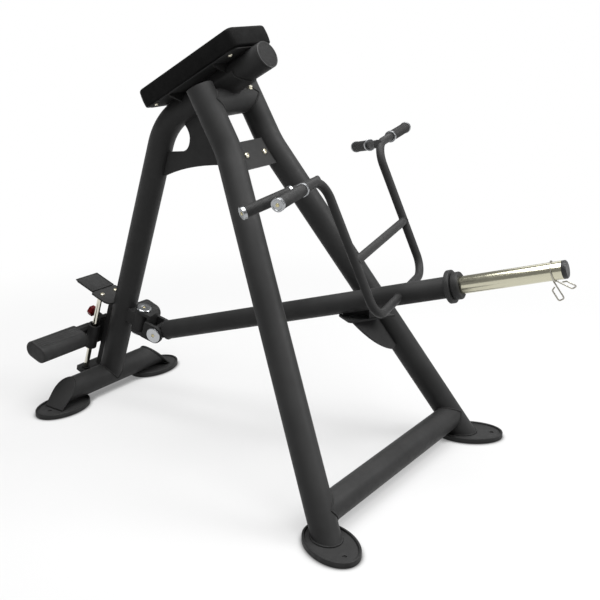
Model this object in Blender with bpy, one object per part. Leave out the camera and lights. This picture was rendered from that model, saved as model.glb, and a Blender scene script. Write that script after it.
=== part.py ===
"""Prone row machine: an inclined chest pad on a bent spine tube and two splayed rear legs, with a lever
arm on a two-way joint, two pairs of handles, a plate sleeve and a foot bar that slides on two rods.

Metres, +Z up. The machine stands on z = 0 and the user faces +Y. Right is +X. The arm is drawn swung
onto its rest bracket on the left leg, as it is parked when nobody trains.
"""
import math

import bpy
from mathutils import Matrix, Vector

for leftover in list(bpy.data.objects):
    bpy.data.objects.remove(leftover)

# Place of the front base tube's middle, so that the machine's box is centred on the origin
MACHINE_PLACE = (0.0483, -0.6843, 0.0)

# Clearances
GAP = 0.0003
RUNNING_GAP = 0.0005

# Facets round a tube, and along a bend of 90 degrees
BIG_SIDES = 32
SMALL_SIDES = 16
BEND_STEPS = 9

# Feet
FOOT_LENGTH = 0.200
FOOT_WIDTH = 0.129
FOOT_HEIGHT = 0.017
FOOT_RIM = 0.008
FOOT_PLATE_TOP = 0.013
FOOT_HOLE = 0.012
REAR_FOOT_HOLE_OUT = 0.0667
FRONT_FOOT_HOLE_OUT = 0.055
REAR_FOOT_BEYOND_LEG = 0.0157
FRONT_FOOT_SPACING = 0.424

# Front base tube
BASE_RADIUS = 0.038
BASE_AXIS_HEIGHT = 0.055
BASE_HALF_LENGTH = 0.213
BASE_END_ANGLE = 45.0
BASE_END_PLATE = 0.005
BASE_END_MARGIN = 0.004
BASE_END_FOOT_WIDTH = 0.077

# Spine tube, which bends into the pad tube
TUBE_RADIUS = 0.038
SPINE_LEAN = 18.92
SPINE_TO_CORNER = 0.9160
SPINE_BEND_RADIUS = 0.191
PAD_ANGLE = 29.3
PAD_TUBE_LENGTH = 0.4250
PLUG_LENGTH = 0.005
PLUG_EDGE = 0.0015

# Rear legs and the tubes between them
LEG_FOOT_HALF_SPACING = 0.3749
LEG_FOOT_BACK = 1.1338
LEG_BEND_HALF_SPACING = 0.0928
LEG_BEND_BACK = 0.6095
LEG_BEND_HEIGHT = 0.8780
LEG_BEND_RADIUS = 0.2
UPPER_LEG_LEAN = 30.8
LEG_TOP_RISE = 0.0015
REAR_CROSS_HEIGHT = 0.0623
TOP_CROSS_UP_LEG = 0.1395
SADDLE_THICKNESS = 0.0045
SADDLE_EDGE_RISE = 0.004
SADDLE_REACH = 0.106
SADDLE_SIDE_REACH = 0.081
SADDLE_STEPS = 20

# Plates welded between the tubes. The arched plate's corners and curve controls are given as
# (distance forward of, height above) the legs' bend.
GUSSET_THICKNESS = 0.008
GUSSET_HEEL = (0.3178, -0.1167)
GUSSET_BELLY = (0.1866, -0.0552)
GUSSET_ARCH_TOP = (0.2426, 0.0484)
GUSSET_ARCH_BROW = (0.2183, 0.0276)
GUSSET_ARCH_SIDE = (0.2181, 0.0043)
GUSSET_ARCH_CHEEK = (0.2198, -0.0335)
GUSSET_ARCH_LOW = (0.2511, -0.0376)
GUSSET_TIP = (0.3097, -0.0450)
GUSSET_ROOT = (0.3478, -0.1287)
GUSSET_NECK = (0.0850, 0.0150)
GUSSET_MEETS_PLATE = -0.025
CROSS_PLATE_THICKNESS = 0.008
CROSS_PLATE_TOP = 0.018
CROSS_PLATE_BOTTOM = -0.062

# Chest pad and its plate, measured back along the pad tube from its end
PAD_WIDTH = 0.165
PAD_LENGTH = 0.394
PAD_THICKNESS = 0.053
PAD_CORNER = 0.022
PAD_EDGE = 0.009
PAD_MIDDLE_FROM_TUBE_END = 0.2152
PAD_PLATE_THICKNESS = 0.004
PAD_PLATE_INSET = 0.006
PAD_PLATE_END_INSET = 0.014
STIFFENER_THICKNESS = 0.005
STIFFENER_LOW = 0.011
STIFFENER_TIP = 0.004
STIFFENER_ROOT = 0.012
STIFFENER_REACH = 0.072
STIFFENER_SPACING = 0.185

# Foot adjuster, placed along the spine from the base tube's axis; forward is away from the user
ADJUSTER_OFFSET = 0.006
ROD_RADIUS = 0.008
ROD_SPACING = 0.067
ROD_FORWARD = 0.075
BOTTOM_BRACKET_HEIGHT = -0.0173
TOP_BRACKET_HEIGHT = 0.2747
BRACKET_THICKNESS = 0.006
BRACKET_WIDTH = 0.126
BRACKET_FRONT = 0.099
BRACKET_BACK = 0.020
BRACKET_CORNER = 0.012
TOP_BRACKET_WIDTH = 0.106
TOP_BRACKET_CORNER = 0.004
TOP_BRACKET_SIDE_END = 0.052
TOP_BRACKET_BACK_HALF_WIDTH = 0.030
TREAD_WIDTH = 0.094
TREAD_LENGTH = 0.081
TREAD_THICKNESS = 0.0035
TREAD_OVERHANG = 0.004
RACK_WIDTH = 0.024
RACK_DEPTH = 0.020
RACK_BOTTOM_CLEARANCE = 0.020
RACK_TOP_CLEARANCE = 0.018
RACK_PITCH = 0.025
RACK_HOLE = 0.010
RACK_HOLE_DEPTH = 0.012
RACK_HOLE_MARGIN = 0.009

# Carriage that slides on the rods
SLEEVE_RADIUS = 0.020
SLEEVE_BOTTOM = 0.0787
SLEEVE_LENGTH = 0.085
SLEEVE_RECESS_RADIUS = 0.0135
SLEEVE_RECESS_DEPTH = 0.010
CROSSPIECE_BOTTOM = 0.0877
CROSSPIECE_TOP = 0.1877
CROSSPIECE_THICKNESS = 0.014
CROSSPIECE_INSET = 0.0015
FOOT_BAR_HEIGHT = 0.1307
FOOT_BAR_FORWARD = 0.082
FOOT_BAR_DEPTH = 0.079
FOOT_BAR_THICKNESS = 0.044
FOOT_BAR_REACH = 0.264
FOOT_BAR_SHIFT = 0.007
FOOT_BAR_INNER_END = 0.0255
FOOT_NECK_FORWARD = 0.103
FOOT_NECK_DEPTH = 0.030
FOOT_NECK_THICKNESS = 0.034
FOOT_NECK_CHAMFER = 0.007
FOOT_RUBBER_WALL = 0.003
FOOT_RUBBER_INNER_END = 0.096
FOOT_RUBBER_CAP = 0.006
FOOT_RUBBER_INNER_WALL = 0.008
FOOT_RUBBER_EDGE = 0.004

# Pull pin
PIN_HEIGHT = 0.1725
PIN_RADIUS = 0.004
PIN_EDGE = 0.001
PIN_HOUSING_RADIUS = 0.011
PIN_HOUSING_LENGTH = 0.030
PIN_HOUSING_EDGE = 0.002
PIN_NECK = 0.009
KNOB_RADIUS = 0.018
KNOB_LENGTH = 0.018
KNOB_LOBES = 6
KNOB_LOBE_DEPTH = 0.0022
KNOB_EDGE = 0.003

# Two-way arm joint
JOINT_BACK = 0.077
JOINT_HEIGHT = 0.2607
PIVOT_RADIUS = 0.010
LUG_WIDTH = 0.044
LUG_HEIGHT = 0.046
LUG_BARREL_RADIUS = 0.024
YOKE_HEIGHT = 0.084
YOKE_PLATE = 0.010
YOKE_WIDTH = 0.050
YOKE_WEB_BACK = 0.041
YOKE_EAR_WIDTH = 0.074
YOKE_EAR_THICKNESS = 0.010
YOKE_EAR_RADIUS = 0.0282
LIFT_BACK = 0.073
LIFT_HEIGHT = -0.0062
CAP_RADIUS = 0.0245
CAP_THICKNESS = 0.005
CAP_EDGE = 0.001
ARM_SWING = 11.3
ARM_RISE = 35.2

# Lever arm, along its axis from the lift pivot
ARM_RADIUS = 0.030
ARM_START = 0.031
ARM_HEAD_RADIUS = 0.020
ARM_NECK_HALF_HEIGHT = 0.018
ARM_NECK_HALF_WIDTH = 0.022
FLANGE_START = 0.986
FLANGE_RADIUS = 0.046
FLANGE_THICKNESS = 0.014
FLANGE_EDGE = 0.0015
BUMPER_RADIUS = 0.038
BUMPER_THICKNESS = 0.0227
BUMPER_EDGE = 0.005
SLEEVE_TUBE_RADIUS = 0.0244
SLEEVE_TUBE_LENGTH = 0.2752
END_PLUG_LENGTH = 0.0115
END_PLUG_EDGE = 0.003
CLIP_FROM_SLEEVE_END = 0.0275
CLIP_WIRE_RADIUS = 0.0017
CLIP_LOOP_LENGTH = 0.053
CLIP_LOOP_WIDTH = 0.016
CLIP_WIRE_PITCH = 0.0075
CLIP_CORNER = 0.004
CLIP_ROOT = 0.010
CLIP_TAIL = ((0.020, 0.016), (0.015, 0.006))

# Handle frame
HANDLE_ALONG_ARM = 0.8449
HANDLE_LEAN = 5.7
HANDLE_TUBE_RADIUS = 0.0121
HANDLE_HALF_WIDTH = 0.195
HANDLE_HEIGHT = 0.397
HANDLE_BOTTOM_BEND = 0.055
HANDLE_TOP_BEND = 0.060
CROSS_BAR_HEIGHT = 0.163
WIDE_GRIP_REACH = 0.265
NEAR_GRIP_START = 0.020
NEAR_GRIP_REACH = 0.2245
NEAR_GRIP_ANGLE = 49.0
GRIP_RADIUS = 0.0155
GRIP_LENGTH = 0.127
GRIP_CAP_RADIUS = 0.017
GRIP_CAP_THICKNESS = 0.010
GRIP_CAP_EDGE = 0.0015

# Rest bracket on the left leg, which hangs from the parked arm's place. The outlines are in the plate's
# own plane, along its front edge and away from it, from the point under the arm at the leg.
REST_TURN = 30.0
REST_RUBBER_DEPTH = 0.0182
REST_THICKNESS = 0.006
REST_PLATE_OUTLINE = ((-0.090, -0.020), (0.038, -0.048), (0.042, -0.044), (0.042, 0.014), (0.034, 0.023),
                      (-0.105, 0.023))
REST_RUBBER_OUTLINE = ((0.030, -0.044), (-0.024, -0.012), (-0.022, 0.021), (-0.062, 0.021), (-0.062, -0.022))
REST_HOLE = 0.013
REST_HOLE_PLACE = (0.026, -0.005)
REST_ARM_CLEARANCE = 0.0006
REST_SIDE_SLOPE = 0.053
REST_BLADE_THICKNESS = 0.006
REST_BLADE_REACH = 0.147
REST_BLADE_TOE = (0.034, 0.111)
REST_BLADE_LOW = (0.062, 0.109)
REST_BLADE_BELLY = (0.121, 0.062)
REST_BLADE_ROOT = 0.030
REST_BLADE_HEEL = 0.091

# Length of the bars that cut holes right through
THROUGH = 0.2


def material(name, colour, roughness, metallic=0.0):
    """A plain Principled material of the sub-part's own."""
    made = bpy.data.materials.new(name)
    made.use_nodes = True
    shader = made.node_tree.nodes["Principled BSDF"]
    shader.inputs["Base Color"].default_value = (*colour, 1.0)
    shader.inputs["Roughness"].default_value = roughness
    shader.inputs["Metallic"].default_value = metallic
    return made


POWDER_COAT = (0.022, 0.022, 0.022)
RUBBER = (0.012, 0.012, 0.012)
VINYL = (0.010, 0.010, 0.010)
CHROME = (0.72, 0.70, 0.62)
ALUMINIUM = (0.62, 0.62, 0.63)
RED_PLASTIC = (0.12, 0.008, 0.010)


def frame(name, parent=None, place=(0, 0, 0), turn=(0, 0, 0)):
    """An empty that carries a group of pieces. Its turn is in degrees about its parent's axes."""
    made = bpy.data.objects.new(name, None)
    made.parent = parent
    made.location = place
    made.rotation_euler = [math.radians(angle) for angle in turn]
    bpy.context.collection.objects.link(made)
    bpy.context.view_layer.update()
    return made


def add(name, mesh, parent, look, place=(0, 0, 0), turn=(0, 0, 0)):
    """A sub-part: its mesh in its own coordinates, placed under its parent."""
    made = bpy.data.objects.new(name, mesh)
    made.parent = parent
    made.location = place
    made.rotation_euler = [math.radians(angle) for angle in turn]
    bpy.context.collection.objects.link(made)
    mesh.materials.clear()
    colour, roughness, metallic = look
    mesh.materials.append(material(name, colour, roughness, metallic))
    mesh.shade_smooth()
    mesh.set_sharp_from_angle(angle=math.radians(32))
    return made


def helper(mesh, parent, place=(0, 0, 0), turn=(0, 0, 0)):
    """A hidden solid that a Boolean adds or cuts."""
    made = bpy.data.objects.new("helper", mesh)
    made.parent = parent
    made.location = place
    made.rotation_euler = [math.radians(angle) for angle in turn]
    made.hide_render = True
    made.display_type = "WIRE"
    bpy.context.collection.objects.link(made)
    return made


def boolean(target, operation, tools):
    for tool in tools:
        step = target.modifiers.new(operation.lower(), "BOOLEAN")
        step.operation = operation
        step.solver = "EXACT"
        step.object = tool


def cut(target, *tools):
    boolean(target, "DIFFERENCE", tools)


def join(target, *tools):
    boolean(target, "UNION", tools)


def mesh_from(vertices, faces):
    made = bpy.data.meshes.new("shape")
    made.from_pydata([tuple(v) for v in vertices], [], faces)
    made.validate()
    made.update()
    return made


def rounded_path(points, radii):
    """A polyline whose inner corners are arcs: radii has one value for each inner corner."""
    points = [Vector(p) for p in points]
    path = [points[0]]
    for before, corner, after, radius in zip(points, points[1:], points[2:], radii):
        incoming = (corner - before).normalized()
        outgoing = (after - corner).normalized()
        turn = incoming.angle(outgoing)
        tangent = radius * math.tan(turn / 2)
        start = corner - incoming * tangent
        inward = (outgoing - incoming * incoming.dot(outgoing)).normalized()
        centre = start + inward * radius
        steps = max(3, round(BEND_STEPS * turn / (math.pi / 2)))
        for i in range(steps + 1):
            angle = turn * i / steps
            path.append(centre - inward * radius * math.cos(angle) + incoming * radius * math.sin(angle))
    path.append(points[-1])
    return path


def tube_mesh(path, radius, sides, start_normal=None, end_normal=None):
    """A solid round bar along a path. An end may be cut by a plane of the given normal."""
    path = [Vector(p) for p in path]
    count = len(path)
    tangents = []
    for i in range(count):
        behind = path[max(i - 1, 0)]
        ahead = path[min(i + 1, count - 1)]
        incoming = (path[i] - behind).normalized()
        outgoing = (ahead - path[i]).normalized()
        tangents.append((incoming + outgoing).normalized())
    side = tangents[0].orthogonal().normalized()
    vertices = []
    for i, (point, tangent) in enumerate(zip(path, tangents)):
        side = (side - tangent * side.dot(tangent)).normalized()
        other = tangent.cross(side)
        normal = start_normal if i == 0 else end_normal if i == count - 1 else None
        for k in range(sides):
            angle = 2 * math.pi * k / sides
            offset = (side * math.cos(angle) + other * math.sin(angle)) * radius
            if normal is not None:
                offset -= tangent * (offset.dot(Vector(normal)) / tangent.dot(Vector(normal)))
            vertices.append(point + offset)
    faces = [list(range(sides))[::-1], list(range((count - 1) * sides, count * sides))]
    for i in range(count - 1):
        for k in range(sides):
            a = i * sides + k
            b = i * sides + (k + 1) % sides
            faces.append([a, b, b + sides, a + sides])
    return mesh_from(vertices, faces)


def turned_mesh(profile, sides=SMALL_SIDES):
    """A solid turned about Z. The profile is a list of (radius, height), up the outside. A profile that
    starts and ends on the axis is solid, and any other closes on itself round a bore."""
    vertices = []
    rings = []
    for radius, height in profile:
        if radius == 0:
            rings.append([len(vertices)] * sides)
            vertices.append((0, 0, height))
            continue
        rings.append(range(len(vertices), len(vertices) + sides))
        for k in range(sides):
            angle = 2 * math.pi * k / sides
            vertices.append((radius * math.cos(angle), radius * math.sin(angle), height))
    pairs = list(zip(rings, rings[1:]))
    if profile[0][0] != 0:
        pairs.append((rings[-1], rings[0]))
    faces = []
    for low, high in pairs:
        for k in range(sides):
            n = (k + 1) % sides
            corners = [low[k], low[n], high[n], high[k]]
            faces.append(list(dict.fromkeys(corners)))
    return mesh_from(vertices, [face for face in faces if len(face) > 2])


def prism_mesh(outline, low, high):
    """An outline in XY, counterclockwise, extruded along Z from low to high."""
    count = len(outline)
    vertices = [(x, y, z) for z in (low, high) for x, y in outline]
    faces = [list(range(count))[::-1], list(range(count, 2 * count))]
    for k in range(count):
        n = (k + 1) % count
        faces.append([k, n, n + count, k + count])
    return mesh_from(vertices, faces)


def box_mesh(low, high):
    outline = [(low[0], low[1]), (high[0], low[1]), (high[0], high[1]), (low[0], high[1])]
    return prism_mesh(outline, low[2], high[2])


def rod_mesh(radius, length, sides=SMALL_SIDES):
    """A round bar centred on the origin along Z."""
    half = length / 2
    return turned_mesh([(0, -half), (radius, -half), (radius, half), (0, half)], sides)


def ellipse(half_x, half_y, count):
    angles = [2 * math.pi * k / count for k in range(count)]
    return [(half_x * math.cos(a), half_y * math.sin(a)) for a in angles]


def rounded_rectangle(half_x, half_y, radius, steps=6):
    """Counterclockwise, centred on the origin."""
    outline = []
    for quarter, (sx, sy) in enumerate([(1, 1), (-1, 1), (-1, -1), (1, -1)]):
        for i in range(steps + 1):
            angle = math.pi / 2 * (quarter + i / steps)
            outline.append((sx * (half_x - radius) + radius * math.cos(angle),
                            sy * (half_y - radius) + radius * math.sin(angle)))
    return outline


def stadium(half_x, half_y, steps=10):
    """An outline with half-round ends along X, counterclockwise."""
    straight = half_x - half_y
    outline = []
    for centre, first in ((straight, -90), (-straight, 90)):
        for i in range(steps + 1):
            angle = math.radians(first + 180 * i / steps)
            outline.append((centre + half_y * math.cos(angle), half_y * math.sin(angle)))
    return outline


def quadratic(start, control, end, steps):
    """Points of a quadratic Bezier curve, without its first point."""
    curve = []
    for i in range(1, steps + 1):
        t = i / steps
        curve.append(tuple((1 - t) ** 2 * a + 2 * t * (1 - t) * b + t ** 2 * c
                           for a, b, c in zip(start, control, end)))
    return curve


# Finishes: colour, roughness, metallic
COATED = (POWDER_COAT, 0.45, 0.0)
MOULDED = (RUBBER, 0.6, 0.0)
COVERED = (VINYL, 0.55, 0.0)
PLATED = (CHROME, 0.2, 1.0)
MILLED = (ALUMINIUM, 0.28, 1.0)
RED = (RED_PLASTIC, 0.35, 0.0)

# Frames. The machine frame has the base tube's middle on its Z axis. The spine frame's Z runs up the
# spine and its +Y points back, away from the foot bar. The pad frame's +Y runs up the pad tube.
machine = frame("machine", place=MACHINE_PLACE)
spine = frame("spine_axis", machine, (0, 0, BASE_AXIS_HEIGHT), (-SPINE_LEAN, 0, 0))
corner_back = SPINE_TO_CORNER * math.sin(math.radians(SPINE_LEAN))
corner_height = BASE_AXIS_HEIGHT + SPINE_TO_CORNER * math.cos(math.radians(SPINE_LEAN))
pad_frame = frame("pad_tube_axis", machine, (0, corner_back, corner_height), (PAD_ANGLE, 0, 0))
adjuster = frame("adjuster", spine, (ADJUSTER_OFFSET, 0, 0))

PAD_ALONG = Vector((0, math.cos(math.radians(PAD_ANGLE)), math.sin(math.radians(PAD_ANGLE))))
PAD_NORMAL = Vector((0, -math.sin(math.radians(PAD_ANGLE)), math.cos(math.radians(PAD_ANGLE))))


UPPER_LEG = Vector((0, -math.sin(math.radians(UPPER_LEG_LEAN)), math.cos(math.radians(UPPER_LEG_LEAN))))


def leg_points(side):
    """The leg's axis at the floor, at its bend and at its top, a little above the pad tube's axis."""
    floor = Vector((side * LEG_FOOT_HALF_SPACING, LEG_FOOT_BACK, 0))
    bend = Vector((side * LEG_BEND_HALF_SPACING, LEG_BEND_BACK, LEG_BEND_HEIGHT))
    from_corner = bend - Vector((0, corner_back, corner_height))
    length = (LEG_TOP_RISE - from_corner.dot(PAD_NORMAL)) / UPPER_LEG.dot(PAD_NORMAL)
    return floor, bend, bend + UPPER_LEG * length


def leg_heading(side):
    """Level direction in which the leg splays, from its top to its foot."""
    floor, bend, _ = leg_points(side)
    return Vector((floor.x - bend.x, floor.y - bend.y, 0)).normalized()


def leg_at_height(side, height):
    floor, bend, _ = leg_points(side)
    return floor.lerp(bend, height / bend.z)


def leg_mesh(side, radius):
    floor, bend, top = leg_points(side)
    start = leg_at_height(side, FOOT_PLATE_TOP + GAP)
    path = rounded_path([start, bend, top], [LEG_BEND_RADIUS])
    return tube_mesh(path, radius, BIG_SIDES, start_normal=(0, 0, 1), end_normal=PAD_NORMAL)


def spine_path():
    """From the base tube's axis up the spine, round the bend and up the pad tube, in the machine frame."""
    start = Vector((0, 0, BASE_AXIS_HEIGHT))
    corner = Vector((0, corner_back, corner_height))
    return rounded_path([start, corner, corner + PAD_ALONG * PAD_TUBE_LENGTH], [SPINE_BEND_RADIUS])


SIDES = (("right", 1), ("left", -1))
TURN_TO_X = (0, 90, 0)

# Hidden solids, a clearance larger than the tubes they stand for
leg_space = {side: helper(leg_mesh(side, TUBE_RADIUS + GAP), machine) for _, side in SIDES}
spine_space = helper(tube_mesh(spine_path(), TUBE_RADIUS + GAP, BIG_SIDES), machine)
base_space = helper(rod_mesh(BASE_RADIUS + GAP, 2 * BASE_HALF_LENGTH + 0.1, BIG_SIDES), machine,
                    (0, 0, BASE_AXIS_HEIGHT), TURN_TO_X)


def foot(name, place, heading, hole_out):
    """An oval steel plate with a raised rubber rim round it, one solid, with a fixing hole."""
    count = 40
    outer = ellipse(FOOT_LENGTH / 2, FOOT_WIDTH / 2, count)
    eased = ellipse(FOOT_LENGTH / 2 - FOOT_RIM / 4, FOOT_WIDTH / 2 - FOOT_RIM / 4, count)
    inner = ellipse(FOOT_LENGTH / 2 - FOOT_RIM, FOOT_WIDTH / 2 - FOOT_RIM, count)
    levels = ((outer, 0), (outer, FOOT_HEIGHT - FOOT_RIM / 4), (eased, FOOT_HEIGHT), (inner, FOOT_HEIGHT),
              (inner, FOOT_PLATE_TOP))
    vertices = [(x, y, z) for outline, z in levels for x, y in outline]
    faces = [list(range(count))[::-1], list(range(4 * count, 5 * count))]
    for level in range(4):
        for k in range(count):
            n = (k + 1) % count
            a, b = level * count + k, level * count + n
            faces.append([a, b, b + count, a + count])
    turn = (0, 0, math.degrees(math.atan2(heading.y, heading.x)))
    made = add(name, mesh_from(vertices, faces), machine, MOULDED, place, turn)
    hole_place = Vector(place) + heading * hole_out
    cut(made, helper(rod_mesh(FOOT_HOLE / 2, 3 * FOOT_HEIGHT, 16), machine, hole_place))
    return made


def feet():
    for word, side in SIDES:
        heading = leg_heading(side)
        centre = leg_points(side)[0] + heading * REAR_FOOT_BEYOND_LEG
        foot("foot_rear_" + word, centre, heading, REAR_FOOT_HOLE_OUT)
        front = foot("foot_front_" + word, (side * FRONT_FOOT_SPACING / 2, 0, 0), Vector((side, 0, 0)),
                     FRONT_FOOT_HOLE_OUT)
        cut(front, base_space)


def base_tube():
    """The front base tube, its ends cut slantwise, and the flat plates that close them."""
    slope = math.radians(BASE_END_ANGLE)
    tube_end = BASE_HALF_LENGTH - BASE_END_PLATE / math.cos(slope)
    path = [(-tube_end, 0, 0), (tube_end, 0, 0)]
    mesh = tube_mesh(path, BASE_RADIUS, BIG_SIDES, start_normal=(-math.cos(slope), 0, math.sin(slope)),
                     end_normal=(math.cos(slope), 0, math.sin(slope)))
    add("front_base_tube", mesh, machine, COATED, (0, 0, BASE_AXIS_HEIGHT))
    half_width = BASE_RADIUS + BASE_END_MARGIN
    half_height = BASE_RADIUS / math.cos(slope) + BASE_END_MARGIN
    drop = BASE_AXIS_HEIGHT - FOOT_PLATE_TOP - GAP - BASE_END_PLATE * math.sin(slope)
    bottom = -drop / math.cos(slope)
    outline = [(BASE_END_FOOT_WIDTH / 2, bottom)]
    for i in range(15):
        angle = math.pi * i / 14
        outline.append((half_width * math.cos(angle), half_height * math.sin(angle)))
    outline.append((-BASE_END_FOOT_WIDTH / 2, bottom))
    for word, side in SIDES:
        place = (side * (BASE_HALF_LENGTH + GAP / math.cos(slope)), 0, BASE_AXIS_HEIGHT)
        turn = (90 - BASE_END_ANGLE, 0, side * 90)
        add("base_end_plate_" + word, prism_mesh(outline, -BASE_END_PLATE, 0), machine, COATED, place, turn)


def spine_tube():
    made = add("spine_tube", tube_mesh(spine_path(), TUBE_RADIUS, BIG_SIDES), machine, COATED)
    cut(made, base_space)
    profile = [(0, GAP), (TUBE_RADIUS, GAP), (TUBE_RADIUS, PLUG_LENGTH - PLUG_EDGE),
               (TUBE_RADIUS - PLUG_EDGE, PLUG_LENGTH), (0, PLUG_LENGTH)]
    add("pad_tube_plug", turned_mesh(profile, BIG_SIDES), pad_frame, MOULDED, (0, PAD_TUBE_LENGTH, 0),
        (-90, 0, 0))


def along_pad_tube(axis):
    """How far up the pad tube a point of the middle plane lies."""
    return (Vector((0, axis.y, axis.z)) - Vector((0, corner_back, corner_height))).dot(PAD_ALONG)


def saddle_sleeve(middle):
    """The curved plate round the pad tube's underside. Its ends run out further below than at the sides."""
    inner = TUBE_RADIUS + GAP
    outer = inner + SADDLE_THICKNESS
    half_turn = math.pi / 2 + math.asin(SADDLE_EDGE_RISE / TUBE_RADIUS)
    vertices = []
    for i in range(SADDLE_STEPS + 1):
        angle = half_turn * (2 * i / SADDLE_STEPS - 1)
        share = max(math.cos(angle), 0) ** 2
        reach = SADDLE_SIDE_REACH + (SADDLE_REACH - SADDLE_SIDE_REACH) * share
        for radius, y in ((inner, -reach), (outer, -reach), (outer, reach), (inner, reach)):
            vertices.append((radius * math.sin(angle), y, -radius * math.cos(angle)))
    faces = [[3, 2, 1, 0], [4 * SADDLE_STEPS + k for k in range(4)]]
    for i in range(SADDLE_STEPS):
        for k in range(4):
            a = 4 * i + k
            b = 4 * i + (k + 1) % 4
            faces.append([a, b, b + 4, a + 4])
    add("saddle_sleeve", mesh_from(vertices, faces), pad_frame, COATED, (0, middle, 0))


def saddle_space(middle):
    """A hidden bar, a clearance larger than the saddle sleeve."""
    radius = TUBE_RADIUS + 2 * GAP + SADDLE_THICKNESS
    return helper(rod_mesh(radius, 2 * SADDLE_REACH + 2 * GAP, BIG_SIDES), pad_frame, (0, middle, 0),
                  (90, 0, 0))


def legs_and_cross_tubes():
    for word, side in SIDES:
        add("leg_" + word, leg_mesh(side, TUBE_RADIUS), machine, COATED)
    low = leg_at_height(1, REAR_CROSS_HEIGHT)
    rear = add("rear_cross_tube", rod_mesh(TUBE_RADIUS, 2 * low.x, BIG_SIDES), machine, COATED,
               (0, low.y, low.z), TURN_TO_X)
    cut(rear, *leg_space.values())
    axis = leg_points(1)[1] + UPPER_LEG * TOP_CROSS_UP_LEG
    top = add("top_cross_tube", rod_mesh(TUBE_RADIUS, 2 * axis.x, BIG_SIDES), machine, COATED,
              (0, axis.y, axis.z), TURN_TO_X)
    middle = along_pad_tube(axis)
    saddle_sleeve(middle)
    cut(top, saddle_space(middle), *leg_space.values())
    return axis


def mid_gusset(cross_axis):
    """The arched plate in the middle plane. Its outline is (back, height) in the machine frame."""
    bend = leg_points(1)[1]

    def on_plate(up):
        face = Vector((0, bend.y, bend.z)) + UPPER_LEG * up - Vector((0, UPPER_LEG.z, -UPPER_LEG.y)) * GAP
        return (face.y, face.z)

    def placed(point):
        return (bend.y - point[0], bend.z + point[1])

    toe = on_plate(CROSS_PLATE_BOTTOM)
    shoulder = (cross_axis.y - 1.5 * TUBE_RADIUS, cross_axis.z)
    outline = [placed(GUSSET_ROOT), placed(GUSSET_HEEL)]
    outline += quadratic(placed(GUSSET_HEEL), placed(GUSSET_BELLY), toe, 10)
    outline += quadratic(on_plate(GUSSET_MEETS_PLATE), placed(GUSSET_NECK), shoulder, 8)
    outline += [placed(GUSSET_ARCH_TOP)]
    outline += quadratic(placed(GUSSET_ARCH_TOP), placed(GUSSET_ARCH_BROW), placed(GUSSET_ARCH_SIDE), 5)
    outline += quadratic(placed(GUSSET_ARCH_SIDE), placed(GUSSET_ARCH_CHEEK), placed(GUSSET_ARCH_LOW), 6)
    outline += [placed(GUSSET_TIP)]
    made = add("mid_gusset", prism_mesh(outline, -GUSSET_THICKNESS / 2, GUSSET_THICKNESS / 2), machine,
               COATED, turn=(90, 0, 90))
    cut(made, spine_space, saddle_space(along_pad_tube(cross_axis)))


def leg_cross_plate():
    """The flat plate between the legs, at their bends."""
    bend = leg_points(1)[1]
    tilt = math.degrees(math.atan2(-UPPER_LEG.y, UPPER_LEG.z))
    mesh = box_mesh((-bend.x, 0, CROSS_PLATE_BOTTOM), (bend.x, CROSS_PLATE_THICKNESS, CROSS_PLATE_TOP))
    made = add("leg_cross_plate", mesh, machine, COATED, (0, bend.y, bend.z), (tilt, 0, 0))
    cut(made, *leg_space.values())


def chest_pad():
    """The pad, its steel plate and the four stiffeners under it, in the pad frame."""
    middle = PAD_TUBE_LENGTH - PAD_MIDDLE_FROM_TUBE_END
    plate_bottom = TUBE_RADIUS + GAP
    plate_top = plate_bottom + PAD_PLATE_THICKNESS
    half_width = PAD_WIDTH / 2 - PAD_PLATE_INSET
    half_length = PAD_LENGTH / 2 - PAD_PLATE_END_INSET
    plate = rounded_rectangle(half_width, half_length, PAD_CORNER - PAD_PLATE_INSET / 2)
    add("pad_plate", prism_mesh(plate, plate_bottom, plate_top), pad_frame, COATED, (0, middle, 0))
    cushion = rounded_rectangle(PAD_WIDTH / 2, PAD_LENGTH / 2, PAD_CORNER)
    made = add("chest_pad", prism_mesh(cushion, plate_top + GAP, plate_top + GAP + PAD_THICKNESS), pad_frame,
               COVERED, (0, middle, 0))
    soften = made.modifiers.new("edges", "BEVEL")
    soften.width = PAD_EDGE
    soften.segments = 3
    soften.limit_method = "ANGLE"
    soften.angle_limit = math.radians(50)
    for place_word, end in (("lower", -1), ("upper", 1)):
        for word, side in SIDES:
            outline = [(TUBE_RADIUS - STIFFENER_TIP, STIFFENER_LOW),
                       (STIFFENER_REACH, plate_bottom - STIFFENER_TIP - GAP),
                       (STIFFENER_REACH, plate_bottom - GAP), (STIFFENER_ROOT, plate_bottom - GAP),
                       (STIFFENER_ROOT, STIFFENER_LOW)]
            outline = [(side * x, z) for x, z in outline]
            if side < 0:
                outline.reverse()
            along = middle + end * STIFFENER_SPACING / 2
            name = "pad_stiffener_" + place_word + "_" + word
            piece = add(name, prism_mesh(outline, -STIFFENER_THICKNESS / 2, STIFFENER_THICKNESS / 2),
                        pad_frame, COATED, (0, along, 0), (90, 0, 0))
            cut(piece, spine_space)


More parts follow.
